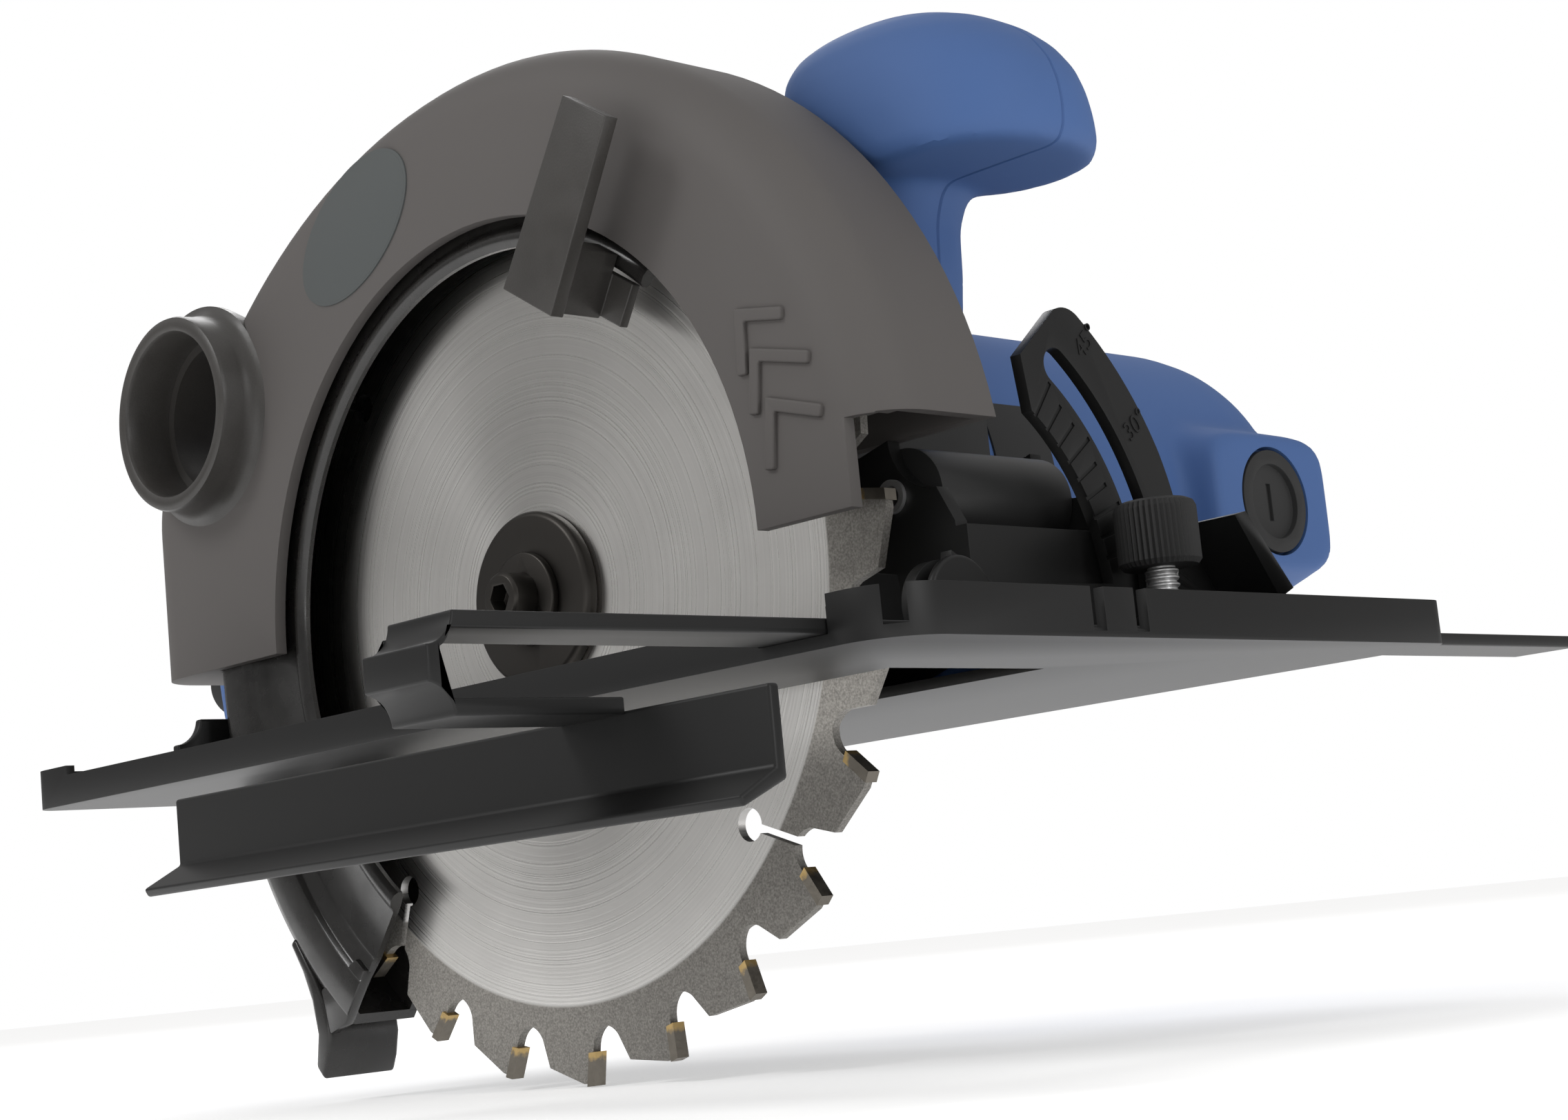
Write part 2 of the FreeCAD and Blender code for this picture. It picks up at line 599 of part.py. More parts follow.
def build_armature():
    shaft = new_body("motor_shaft")
    pad(shaft, "Y", [("circle", MOTOR, 5)], 42, 150)
    pad(shaft, "Y", [("circle", MOTOR, 4)], 150, 160.5)
    pad(shaft, "Y", [("circle", MOTOR, 3.2)], 23, 42)
    spaced_gear("drive_pinion", MOTOR, S.pinion_pitch, SIZES["pinion_teeth"], 27.5 + 180.0, 3.2)
    rod("armature_core", "Y", MOTOR, 24.5, 70, 116, hole=5)
    rod("commutator", "Y", MOTOR, 14, 130, 149, hole=5)
    fan = rod("cooling_fan", "Y", MOTOR, 34, 58, 60, hole=5)
    for blade in range(9):
        root = polar(12, 40 * blade, MOTOR)
        tip = polar(33, 40 * blade + 14, MOTOR)
        tip_two = polar(33, 40 * blade + 18, MOTOR)
        root_two = polar(12, 40 * blade + 8, MOTOR)
        pad(fan, "Y", [[root, tip, tip_two, root_two]], 60, 66)


# ---- handle --------------------------------------------------------------------------------

def build_handle():
    for name, way in (("right", -1), ("left", 1)):
        body = new_body("handle_shell_" + name)
        seam = S.seam_y
        side = S.seam_y + way * S.grip_half
        ends = (seam, side) if way > 0 else (side, seam)
        loop = [(44, 54), (50, 66), (46, 80), (20, 80, 60.0), (-14, 98, 60.0), (-58, 98),
                (-122, 72), (-160, 38), (-166, 8, -60.0), (-152, -12), (-60, -14), (-35, -14),
                (-34.2, 20), (-26, 40.6), (0, 54.2)]
        gap = [(-22, 60), (-34, 70, 30.0), (-58, 71), (-104, 52), (-132, 26), (-130, 12),
               (-60, 11), (-40, 20, 30.0)]
        pad(body, "Y", [loop, gap], *ends)
        neck_side = S.seam_y + way * 12.5
        neck_ends = (seam, neck_side) if way > 0 else (neck_side, seam)
        neck = [(46, 52.2), (52.2, 52.2), (67.9, 36.3), (73, 46), (74, 58, -90.0), (82, 70), (44, 70)]
        pad(body, "Y", [neck], *neck_ends)
        cap_side = S.seam_y + way * S.cap_half
        cap_ends = (seam, cap_side) if way > 0 else (cap_side, seam)
        cap = [(44, 72), (68, 68), (102, 67), (107.5, 74, 8.0), (105, 86), (92, 96, 22.0),
               (68, 99.5, 60.0), (44, 95, 60.0), (30, 84, 30.0)]
        pad(body, "Y", [cap], *cap_ends)
        # room for the trigger, the switch and the lock-off button
        trigger_side = S.seam_y + way * 7
        room = (seam, trigger_side) if way > 0 else (trigger_side, seam)
        pocket(body, "Y", [[(-36, 58), (-36, 92), (-88, 88), (-84, 52)]], *room)
        pocket(body, "X", [("circle", (S.seam_y, 6), 7.5)], -170, -160)
        pocket(body, "Y", [("circle", DEPTH_BOLT, 2.95)], *sorted(ends, key=lambda size: size.value))
        pin_side = S.seam_y + way * 10
        pin_ends = (seam, pin_side) if way > 0 else (pin_side, seam)
        pocket(body, "Y", [("circle", TRIGGER_PIN, 1.5)], *pin_ends)
        if way > 0:
            pocket(body, "Y", [("circle", (-22, 84), 5.06)], seam - 1, side + 1)


def build_controls():
    trigger = new_body("trigger")
    half = 6.6
    loop = [(-39, 79), (-39, 64), (-50, 61), (-66, 57, 14.0), (-76, 60), (-78, 76)]
    pad(trigger, "Y", [loop], S.seam_y - half, S.seam_y + half)
    pocket(trigger, "Y", [("circle", TRIGGER_PIN, 1.55)], S.seam_y - half, S.seam_y + half)
    rod("trigger_pin", "Y", TRIGGER_PIN, 1.5, S.seam_y - 10, S.seam_y + 10)
    soften(trigger, 2, edges_along("Y", [(-39, 64), (-66, 57)]))
    switch = new_body("power_switch")
    pad(switch, "Y", [[(-40, 90), (-84, 87.5), (-84, 82.5), (-40, 84)]], S.seam_y - 6.5, S.seam_y + 6.5)
    rod("lock_off_button", "Y", (-22, 84), 5, S.seam_y + 5, S.seam_y + S.grip_half + 4)
    rod("cable_bush", "X", (S.seam_y, 6), 7.5, -168, -160, hole=3.6)
    rod("depth_bolt", "Y", DEPTH_BOLT, 2.95, S.arm_y - 1.2, S.seam_y + S.grip_half + 10)
    lever = new_body("depth_lock_lever")
    hub_low = S.seam_y + S.grip_half + 0.4
    pad(lever, "Y", [("circle", DEPTH_BOLT, 8), ("circle", DEPTH_BOLT, 3.02)], hub_low, hub_low + 9)
    pad(lever, "Y", [[(-50, 10.4), (-52.4, 2), (-90, -4), (-90, 3)]], hub_low + 5, hub_low + 9)


# ---- shoe and its brackets -----------------------------------------------------------------

def build_shoe():
    body = new_body("base_shoe")
    low = -S.shoe_bottom
    outline = box_loop(-S.shoe_rear, -S.shoe_right, S.shoe_front, S.shoe_left)
    opening = box_loop(-S.slot_rear, -S.slot_right, S.slot_front, S.slot_left)
    pad(body, "Z", [outline], low, low + S.end_lip)
    soften(body, 11, edges_along("Z", [(134.5, -47.5)]))
    soften(body, 5, edges_along("Z", [(134.5, 101), (-113, -47.5), (-113, 101)]))
    skin = S.sheet_steel
    inside = box_loop(-S.shoe_rear + skin, -S.shoe_right + skin, S.shoe_front - skin,
                      S.shoe_left - skin)
    pocket(body, "Z", [inside], low + skin, low + S.end_lip + 1)
    pocket(body, "Z", [opening], low - 1, low + skin + 1)
    side_top = low + S.side_lip
    for right in (True, False):
        edge_y = -S.shoe_right if right else S.shoe_left - skin
        pocket(body, "Z", [box_loop(-S.shoe_rear + 14, edge_y - 1, S.shoe_front - 14, edge_y + skin + 1)],
               side_top, low + S.end_lip + 1)
    bar_low, bar_high = S.bar_x - S.bar_wide / 2 - 0.4, S.bar_x + S.bar_wide / 2 + 0.4
    for edge_y in (-S.shoe_right - 1, S.shoe_left - skin - 1):
        pocket(body, "Z", [box_loop(bar_low, edge_y, bar_high, edge_y + skin + 2)],
               low + skin, low + S.end_lip + 1)
    # the far lip is cut away under the motor
    pocket(body, "Z", [box_loop(S.motor_x - 27, S.shoe_left - skin - 1, S.motor_x + 27, S.shoe_left + 1)],
           low + skin, low + S.end_lip + 1)
    for notch in (-1.0, 9.8):
        pocket(body, "Z", [box_loop(S.shoe_front - skin - 1, notch - 1.6, S.shoe_front + 1, notch + 1.6)],
               low + 1, low + S.end_lip + 1)


def build_quadrant():
    body = new_body("bevel_quadrant")
    near = S.quadrant_x
    far = S.quadrant_x + S.quadrant_thick
    centre = BEVEL
    loop = [polar(S.quadrant_out, -6, centre), polar(S.quadrant_out, 26, centre) + (-S.quadrant_out.value,),
            polar(S.quadrant_out, 52, centre) + (-S.quadrant_out.value,),
            polar(S.quadrant_out - 3.5, 57.5, centre) + (-6.0,), polar(S.bevel_slot - 4, 62, centre),
            polar(S.quadrant_in, 54, centre),
            polar(S.quadrant_in, 24, centre) + (S.quadrant_in.value,),
            polar(S.quadrant_in, 6, centre) + (S.quadrant_in.value,),
            (11, -13.6), (BEVEL[0], BEVEL[1] + 9), (BEVEL[0] - 9, BEVEL[1] + 0.5, 9.0), (-8, plate_top),
            (46, plate_top)]
    loop[0] = (66, -22)
    pad(body, "X", [loop], near, far)
    inner = S.bevel_slot - S.bevel_slot_wide / 2
    outer = S.bevel_slot + S.bevel_slot_wide / 2
    slot = swept_at(outer, inner, 4, 52.6, centre)
    pocket(body, "X", [slot], near, far)
    pocket(body, "X", [("circle", centre, S.pin_radius + S.running_gap)], near, far)
    for number in range(10):
        angle = 7.3 + 5.0 * number
        reach = 1.5 if number % 3 == 0 else 0.0
        mark = [polar(S.quadrant_in - 1, angle - 0.5, centre), polar(inner - 2.2 + reach, angle - 0.5, centre),
                polar(inner - 2.2 + reach, angle + 0.5, centre), polar(S.quadrant_in - 1, angle + 0.5, centre)]
        if angle > 12:
            pocket(body, "X", [mark], far - 0.4, far)
    rear = new_body("rear_ear")
    ear = [(-17, plate_top), (-17, -15), (-11, -9.5, -6.0), (11, -9.5), (17, -15.5, -6.0), (17, plate_top)]
    pad(rear, "X", [ear], -107.2, -105)
    pocket(rear, "X", [("circle", centre, S.pin_radius + S.running_gap)], -108, -104)


def swept_at(outer, inner, begin, end, centre):
    """A curved slot with round ends about a given centre."""
    middle = (begin + end) / 2.0
    cap = (outer.value - inner.value) / 2.0
    return [polar(outer, begin, centre), polar(outer, middle, centre) + (-outer.value,),
            polar(outer, end, centre) + (-outer.value,),
            polar(inner, end, centre) + (-cap - 1e-4,),
            polar(inner, middle, centre) + (inner.value,), polar(inner, begin, centre) + (inner.value,)]


def build_carriage():
    """Front and rear brackets that tilt with the saw and carry the depth hinge."""
    front = new_body("front_bracket")
    near, far = S.quadrant_x - 2.8, S.quadrant_x - 0.3
    low = plate_top + 1
    near_y, far_y = S.ear_near, S.ear_far
    web = [(near_y, low), (near_y, -3), (far_y, -3), (far_y, low)]
    tab = [(S.bevel_y, BEVEL[1] - S.tab_radius), (10.5, low), (10.5, BEVEL[1] + 5),
           (S.bevel_y, BEVEL[1] + S.tab_radius),
           (S.bevel_y - S.tab_radius, BEVEL[1], -S.tab_radius.value)]
    tab[0] = tab[0] + (-S.tab_radius.value,)
    pad(front, "X", [web], near, far)
    pad(front, "X", [tab], near, far)
    for low_y, high_y in ((near_y, near_y + S.ear_thick), (far_y - S.ear_thick, far_y)):
        ear = [(75, -7), (84, -9), (86, low), (near, low), (near, -2), (95, S.hinge_z),
               (S.hinge_x, S.hinge_z + S.ear_radius, S.ear_radius), (75, 12)]
        pad(front, "Y", [ear], low_y, high_y)
    pocket(front, "Y", [("circle", HINGE, S.pin_radius)], near_y - 1, far_y + 1)
    pocket(front, "X", [("circle", BEVEL, S.pin_radius)], near - 1, far + 1)
    rod("hinge_pin", "Y", HINGE, S.pin_radius, near_y - 0.8, far_y + 0.8, hole=1.9)
    rivet = new_body("front_rivet")
    pad(rivet, "X", [("circle", BEVEL, S.pin_radius)], near, S.quadrant_x + S.quadrant_thick)
    pad(rivet, "X", [("circle", BEVEL, S.rivet_radius)], S.quadrant_x + S.quadrant_thick + 0.05,
        S.quadrant_x + S.quadrant_thick + 1.8)
    pad(rivet, "X", [("circle", BEVEL, S.pin_radius)], S.quadrant_x, S.quadrant_x + S.quadrant_thick + 1)
    rear = new_body("rear_bracket")
    arm_end = S.arm_y + S.arm_thick
    strip = [(S.bevel_y, BEVEL[1] - S.tab_radius, -S.tab_radius.value), (8, low), (arm_end, low),
             (arm_end, -12), (S.bevel_y, BEVEL[1] + S.tab_radius),
             (S.bevel_y - S.tab_radius, BEVEL[1], -S.tab_radius.value)]
    pad(rear, "X", [strip], -109.9, -107.5)
    pocket(rear, "X", [("circle", BEVEL, S.pin_radius)], -111, -107)
    radius_out = S.arm_radius + S.arm_half
    radius_in = S.arm_radius - S.arm_half
    arm = [(-109.9, low), (-38, low), polar(radius_in, 186, HINGE),
           polar(radius_in, 158, HINGE) + (radius_in.value,),
           polar(radius_in, 131, HINGE) + (radius_in.value,),
           polar(radius_out, 131, HINGE) + (8.2,),
           polar(radius_out, 154, HINGE) + (-radius_out.value,),
           polar(radius_out, 175, HINGE) + (-radius_out.value,), (-66, -8), (-109.9, -12)]
    pad(rear, "Y", [arm], S.arm_y, arm_end)
    pocket(rear, "Y", [swept_at(S.arm_radius + 3.2, S.arm_radius - 3.2, 133, 180, HINGE)],
           S.arm_y - 1, arm_end + 1)
    pin_two = new_body("rear_rivet")
    pad(pin_two, "X", [("circle", BEVEL, S.pin_radius)], -109.9, -105)
    pad(pin_two, "X", [("circle", BEVEL, 6.5)], -104.95, -103.6)
    pad(pin_two, "X", [("circle", BEVEL, S.pin_radius)], -105, -104)


def build_bevel_lock():
    spot = polar(S.bevel_slot, 7.3, BEVEL)
    face = S.quadrant_x + S.quadrant_thick
    rod("bevel_bolt", "X", spot, 3, S.quadrant_x - 2.8, face + 3.5)
    body = new_body("bevel_lock_lever")
    wing = [(50, -5.2), (62, -2.2), (73, -17), (50, -19)]
    pad(body, "X", [wing, ("circle", spot, 3.04)], face + 0.3, face + 1.9)
    flange = [(62, -2.2), (65.5, -1.4), (77.5, -15), (73, -17)]
    pad(body, "X", [flange], face + 0.3, face + 14)


# ---- guide ---------------------------------------------------------------------------------

def build_guide():
    body = new_body("guide_bar")
    low = plate_top + 0.05
    high = low + S.bar_thick
    left, right = S.bar_x - S.bar_wide / 2, S.bar_x + S.bar_wide / 2
    drop = -37.0
    path = [(-S.bar_near + 4, high), (S.bar_far, high), (S.bar_far, low), (-S.bar_near + 4, low),
            (-S.bar_near + S.bar_thick, low - 2.4, 2.4), (-S.bar_near + S.bar_thick, drop + 4),
            (-S.bar_near + 4, drop + S.bar_thick, 2.4), (-S.fence_y, drop + S.bar_thick),
            (-S.fence_y, drop), (-S.bar_near + 4, drop), (-S.bar_near, drop + 4.5, -4.5),
            (-S.bar_near, high - 4.5)]
    path[0] = (-S.bar_near + 4.5, high, -4.5)
    path = path[1:] + path[:1]
    pad(body, "X", [path], left, right)
    fence = new_body("guide_fence")
    profile = [(-S.fence_y, -S.fence_top), (-S.fence_y + 2, -S.fence_top),
               (-S.fence_y + 2, -S.fence_low + 1), (-S.fence_y - 6.2, -S.fence_low - 2.4),
               (-S.fence_y - 7, -S.fence_low - 1), (-S.fence_y, -S.fence_low + 2.6)]
    pad(fence, "X", [profile], S.fence_rear, S.fence_front)
    saddle = new_body("guide_saddle")
    arch = [(left - 1.9, plate_top), (left - 0.6, plate_top), (left - 0.6, high + 0.3),
            (right + 0.6, high + 0.3), (right + 0.6, plate_top), (right + 3, plate_top),
            (right + 3, high + 2.8), (left - 1.9, high + 2.8)]
    pad(saddle, "Y", [arch], S.screw_y - 7, S.screw_y + 7)
    centre = (S.bar_x, S.screw_y)
    pocket(saddle, "Z", [("circle", centre, 3.04)], high, high + 4)
    screw = new_body("guide_screw")
    pad(screw, "Z", [("circle", centre, 3)], high + 0.02, -S.knob_low)
    pad(screw, "Z", [("circle", centre, S.knob_radius)], -S.knob_low, S.knob_top)


build_blade()
build_carbide()
build_spindle()
build_upper_guard()
build_dust_port()
build_badge()
build_lower_guard()
build_retract_lever()
build_gearcase()
build_motor_housing()
build_motor_parts()
build_armature()
build_handle()
build_controls()
build_shoe()
build_quadrant()
build_carriage()
build_bevel_lock()
build_guide()

for label, feature in finished.items():
    shape = feature.Shape
    if shape.isNull() or not shape.isValid():
        raise RuntimeError("%s: not a valid shape" % label)
    shape.exportStep("parts/%s.step" % label)
    box = shape.BoundBox
    print("%-24s %8.0f mm3  x %.1f..%.1f  y %.1f..%.1f  z %.1f..%.1f  solids %d" % (
        label, shape.Volume, box.XMin, box.XMax, box.YMin, box.YMax, box.ZMin, box.ZMax,
        len(shape.Solids)))
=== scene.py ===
"""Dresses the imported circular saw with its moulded, turned and pressed pieces and their finishes."""
import json
import logging
import math
from dataclasses import dataclass
from enum import Enum
from typing import Iterable, Protocol, Sequence

import bmesh
import bpy
from mathutils import Matrix, Vector

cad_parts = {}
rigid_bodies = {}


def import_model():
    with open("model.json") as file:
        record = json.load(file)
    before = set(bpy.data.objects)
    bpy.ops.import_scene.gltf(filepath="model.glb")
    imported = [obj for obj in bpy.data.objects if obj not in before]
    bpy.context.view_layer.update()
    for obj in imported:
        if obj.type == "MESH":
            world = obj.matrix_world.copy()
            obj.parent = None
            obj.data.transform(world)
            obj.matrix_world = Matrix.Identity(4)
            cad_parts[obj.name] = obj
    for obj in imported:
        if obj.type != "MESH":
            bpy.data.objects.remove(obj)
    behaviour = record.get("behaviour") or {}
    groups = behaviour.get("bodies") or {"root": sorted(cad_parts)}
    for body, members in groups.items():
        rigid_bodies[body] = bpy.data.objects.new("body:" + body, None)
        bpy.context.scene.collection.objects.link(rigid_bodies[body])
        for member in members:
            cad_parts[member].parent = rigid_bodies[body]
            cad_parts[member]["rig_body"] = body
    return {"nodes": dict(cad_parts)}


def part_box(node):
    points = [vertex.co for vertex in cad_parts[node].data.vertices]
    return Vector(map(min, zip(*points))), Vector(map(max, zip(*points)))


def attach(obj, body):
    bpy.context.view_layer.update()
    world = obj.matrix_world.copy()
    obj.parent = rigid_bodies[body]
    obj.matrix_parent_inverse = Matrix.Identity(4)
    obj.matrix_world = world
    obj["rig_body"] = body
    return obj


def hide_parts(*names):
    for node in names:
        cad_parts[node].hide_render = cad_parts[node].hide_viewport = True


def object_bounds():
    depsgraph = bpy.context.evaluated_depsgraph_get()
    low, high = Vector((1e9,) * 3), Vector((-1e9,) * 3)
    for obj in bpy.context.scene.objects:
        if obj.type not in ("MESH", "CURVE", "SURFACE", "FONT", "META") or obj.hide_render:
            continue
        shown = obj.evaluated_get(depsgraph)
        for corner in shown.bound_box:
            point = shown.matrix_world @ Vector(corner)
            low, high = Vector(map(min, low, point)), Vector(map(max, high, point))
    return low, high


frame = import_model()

MM = 0.001
LOG = logging.getLogger("circular_saw")
CAD_LOW, CAD_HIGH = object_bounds()

Colour = tuple[float, float, float]
Point2 = tuple[float, float]
Point3 = tuple[float, float, float]
Socket = bpy.types.NodeSocket

PATCH_SCALE, WEAR_SCALE = 45.0, 160.0  # features per metre of the broad patches and of the gloss
WELD = 0.002  # points nearer than this many millimetres are one
FLAT_ANGLE = 0.6  # faces that turn less than this many degrees are one


class Grain(Enum):
    """The fine surface of a finish."""

    SPARK = "spark-eroded mould texture"
    PEEL = "soft lacquer waviness"
    BRUSHED = "fine straight scratches"
    TURNED = "rings about the arbor"


class Axis(Enum):
    """A direction of the saw's frame."""

    X = 0
    Y = 1
    Z = 2


# ---- finishes ------------------------------------------------------------------------------

class NodeDesk:
    """Lays out the nodes of one material."""

    def __init__(self, name: str) -> None:
        """Starts an empty material.

        Args:
            name: the material's name.
        """
        self.material = bpy.data.materials.new(name)
        self.material.use_nodes = True
        self.tree = self.material.node_tree
        self.tree.nodes.clear()
        self.shader = self.add("ShaderNodeBsdfPrincipled")
        output = self.add("ShaderNodeOutputMaterial")
        self.join(self.shader.outputs["BSDF"], output.inputs["Surface"])
        self.place = self.add("ShaderNodeTexCoord").outputs["Object"]

    def add(self, kind: str) -> bpy.types.Node:
        """Adds a node of that kind."""
        return self.tree.nodes.new(kind)

    def join(self, start: Socket, end: Socket) -> None:
        """Links an output to an input."""
        self.tree.links.new(start, end)

    def noise(self, vector: Socket, scale: float, detail: float = 2.0) -> Socket:
        """A noise value.

        Args:
            vector: where it is read.
            scale: features per metre.
            detail: octaves.

        Returns:
            The value socket, about 0.5 in the middle.
        """
        node = self.add("ShaderNodeTexNoise")
        node.inputs["Scale"].default_value = scale
        node.inputs["Detail"].default_value = detail
        self.join(vector, node.inputs["Vector"])
        return node.outputs["Fac"]

    def remap(self, value: Socket, start: float, end: float, low: float, high: float) -> Socket:
        """Maps start to end on to low to high, held at both ends."""
        node = self.add("ShaderNodeMapRange")
        for name, number in zip(("From Min", "From Max", "To Min", "To Max"), (start, end, low, high)):
            node.inputs[name].default_value = number
        self.join(value, node.inputs["Value"])
        return node.outputs["Result"]

    def blend(self, factor: Socket, first: object, second: object) -> Socket:
        """Mixes two colours, each a socket or red, green and blue."""
        node = self.add("ShaderNodeMix")
        node.data_type = "RGBA"
        self.join(factor, node.inputs[0])
        for slot, colour in ((6, first), (7, second)):
            if isinstance(colour, Socket):
                self.join(colour, node.inputs[slot])
            else:
                node.inputs[slot].default_value = (*colour, 1.0)
        return node.outputs[2]

    def math(self, kind: str, *values: object) -> Socket:
        """A math node of sockets or numbers."""
        node = self.add("ShaderNodeMath")
        node.operation = kind
        for slot, value in enumerate(values):
            if isinstance(value, Socket):
                self.join(value, node.inputs[slot])
            else:
                node.inputs[slot].default_value = value
        return node.outputs[0]

    def stretched(self, scale: tuple[float, float, float]) -> Socket:
        """Object coordinates scaled along each axis."""
        node = self.add("ShaderNodeMapping")
        node.inputs["Scale"].default_value = scale
        self.join(self.place, node.inputs["Vector"])
        return node.outputs["Vector"]

    def radius(self) -> Socket:
        """Distance from the arbor line in metres."""
        flat = self.add("ShaderNodeVectorMath")
        flat.operation = "MULTIPLY"
        flat.inputs[1].default_value = (1.0, 0.0, 1.0)
        self.join(self.place, flat.inputs[0])
        node = self.add("ShaderNodeVectorMath")
        node.operation = "LENGTH"
        self.join(flat.outputs[0], node.inputs[0])
        return node.outputs["Value"]

    def spread(self, value: Socket) -> Socket:
        """Makes a vector whose first coordinate is the value."""
        node = self.add("ShaderNodeCombineXYZ")
        self.join(value, node.inputs[0])
        return node.outputs[0]

    def raise_surface(self, height: Socket, depth: float, strength: float = 1.0) -> None:
        """Bumps the surface by a height times a depth in millimetres."""
        node = self.add("ShaderNodeBump")
        node.inputs["Strength"].default_value = strength
        node.inputs["Distance"].default_value = depth * MM
        self.join(height, node.inputs["Height"])
        self.join(node.outputs["Normal"], self.shader.inputs["Normal"])


class Dressing(Protocol):
    """What every finish offers."""

    @property
    def slot(self) -> str:
        """The name of its slot."""

    def material(self) -> bpy.types.Material:
        """Its material."""


def shade(colour: Colour, factor: float) -> Colour:
    """The colour made lighter or darker by a factor."""
    return tuple(min(1.0, channel * factor) for channel in colour)


@dataclass(frozen=True)
class Finish:
    """One surface finish, with its colour, gloss and grain, and where set a painted highlight along its convex
    edges.
    """

    name: str
    slot: str
    colour: Colour
    roughness: float = 0.5
    rough_spread: float = 0.08
    metallic: float = 0.0
    grain: Grain = Grain.SPARK
    grain_size: float = 0.5
    grain_depth: float = 0.03
    mottling: float = 0.1
    coat: float = 0.0
    # strength of a painted highlight: convex edges lightened in the base colour
    painted_edge_highlight: float = 0.0

    def material(self) -> bpy.types.Material:
        """The material of that name, built if there is none yet."""
        known = bpy.data.materials.get(self.name)
        return known if known else self._make()

    def _make(self) -> bpy.types.Material:
        """Lays out the finish's nodes."""
        desk = NodeDesk(self.name)
        shader = desk.shader
        shader.inputs["Metallic"].default_value = self.metallic
        shader.inputs["Coat Weight"].default_value = self.coat
        shader.inputs["Coat Roughness"].default_value = 0.12
        patches = desk.noise(desk.place, PATCH_SCALE, 3.0)
        tone = desk.blend(desk.remap(patches, 0.35, 0.65, 0.0, 1.0),
                          shade(self.colour, 1.0 - self.mottling), shade(self.colour, 1.0 + self.mottling))
        if self.grain is Grain.BRUSHED:
            where = desk.stretched((1.0, 0.04, 1.0))
        elif self.grain is Grain.TURNED:
            where = desk.spread(desk.radius())
        else:
            where = desk.place
        fine = desk.noise(where, 1000.0 / self.grain_size, 2.0 if self.grain is Grain.SPARK else 1.0)
        speck = desk.remap(fine, 0.25, 0.75, 1.0 - self.mottling, 1.0 + self.mottling)
        tint = desk.add("ShaderNodeVectorMath")
        tint.operation = "SCALE"
        desk.join(tone, tint.inputs[0])
        desk.join(speck, tint.inputs["Scale"])
        surface = tint.outputs[0]
        # Painted highlight: convex edges, found by pointiness, are blended towards a brighter copy of the colour.
        if self.painted_edge_highlight:
            bend = desk.add("ShaderNodeNewGeometry").outputs["Pointiness"]
            edge = desk.remap(bend, 0.515, 0.6, 0.0, self.painted_edge_highlight)
            surface = desk.blend(edge, surface, shade(self.colour, 2.6))
        desk.join(surface, shader.inputs["Base Color"])
        worn = desk.noise(desk.place, WEAR_SCALE, 3.0)
        glossy, dull = self.roughness - self.rough_spread, self.roughness + self.rough_spread
        desk.join(desk.remap(worn, 0.3, 0.7, glossy, dull), shader.inputs["Roughness"])
        desk.raise_surface(fine, self.grain_depth)
        return desk.material


@dataclass(frozen=True)
class BladeFinish:
    """Ground steel inside, a grit-blasted band round the teeth."""

    name: str = "blade_steel"
    slot: str = "blade_steel"
    ground: Colour = (0.80, 0.785, 0.76)
    blasted: Colour = (0.36, 0.345, 0.32)
    band_radius: float = 77.5
    band_blur: float = 0.25
    band_rough: float = 0.28
    drag: float = 0.75

    def material(self) -> bpy.types.Material:
        """Lays out the blade's nodes."""
        desk = NodeDesk(self.name)
        shader = desk.shader
        radius = desk.radius()
        inside, outside = self.band_radius - self.band_blur, self.band_radius + self.band_blur
        band = desk.remap(radius, inside * MM, outside * MM, 0.0, 1.0)
        rings = desk.noise(desk.spread(radius), 2600.0, 3.0)
        clouds = desk.noise(desk.place, 60.0, 4.0)
        bright = desk.blend(desk.remap(rings, 0.3, 0.7, 0.0, 1.0), shade(self.ground, 0.8), self.ground)
        bright = desk.blend(desk.remap(clouds, 0.4, 0.75, 0.0, 0.35), bright, shade(self.ground, 0.72))
        grit = desk.noise(desk.place, 2600.0, 3.0)
        dull = desk.blend(desk.remap(grit, 0.3, 0.7, 0.0, 1.0), shade(self.blasted, 0.7),
                          shade(self.blasted, 1.25))
        desk.join(desk.blend(band, bright, dull), shader.inputs["Base Color"])
        shader.inputs["Metallic"].default_value = 1.0
        satin = desk.remap(rings, 0.3, 0.7, 0.24, 0.36)
        rough = desk.math("ADD", satin, desk.math("MULTIPLY", band, self.band_rough))
        desk.join(rough, shader.inputs["Roughness"])
        shader.inputs["Anisotropic"].default_value = self.drag
        tangent = desk.add("ShaderNodeTangent")
        tangent.direction_type = "RADIAL"
        tangent.axis = "Y"
        desk.join(tangent.outputs["Tangent"], shader.inputs["Tangent"])
        desk.raise_surface(desk.math("ADD", rings, desk.math("MULTIPLY", band, grit)), 0.012)
        return desk.material


@dataclass(frozen=True)
class TipFinish:
    """Sintered carbide with a golden line of braze at the seat."""

    name: str = "carbide"
    slot: str = "carbide"
    body: Colour = (0.22, 0.20, 0.17)
    braze: Colour = (0.72, 0.50, 0.20)
    seat_ends: Point2 = (88.2, 89.2)

    def material(self) -> bpy.types.Material:
        """Lays out the tips' nodes."""
        desk = NodeDesk(self.name)
        mottle = desk.noise(desk.place, 900.0, 3.0)
        seat = desk.remap(desk.math("ADD", desk.radius(), desk.math("MULTIPLY", mottle, 2.5 * MM)),
                          self.seat_ends[0] * MM, self.seat_ends[1] * MM, 0.8, 0.0)
        desk.join(desk.blend(seat, self.body, self.braze), desk.shader.inputs["Base Color"])
        desk.shader.inputs["Metallic"].default_value = 1.0
        desk.join(desk.remap(mottle, 0.3, 0.7, 0.3, 0.5), desk.shader.inputs["Roughness"])
        desk.raise_surface(mottle, 0.05)
        return desk.material


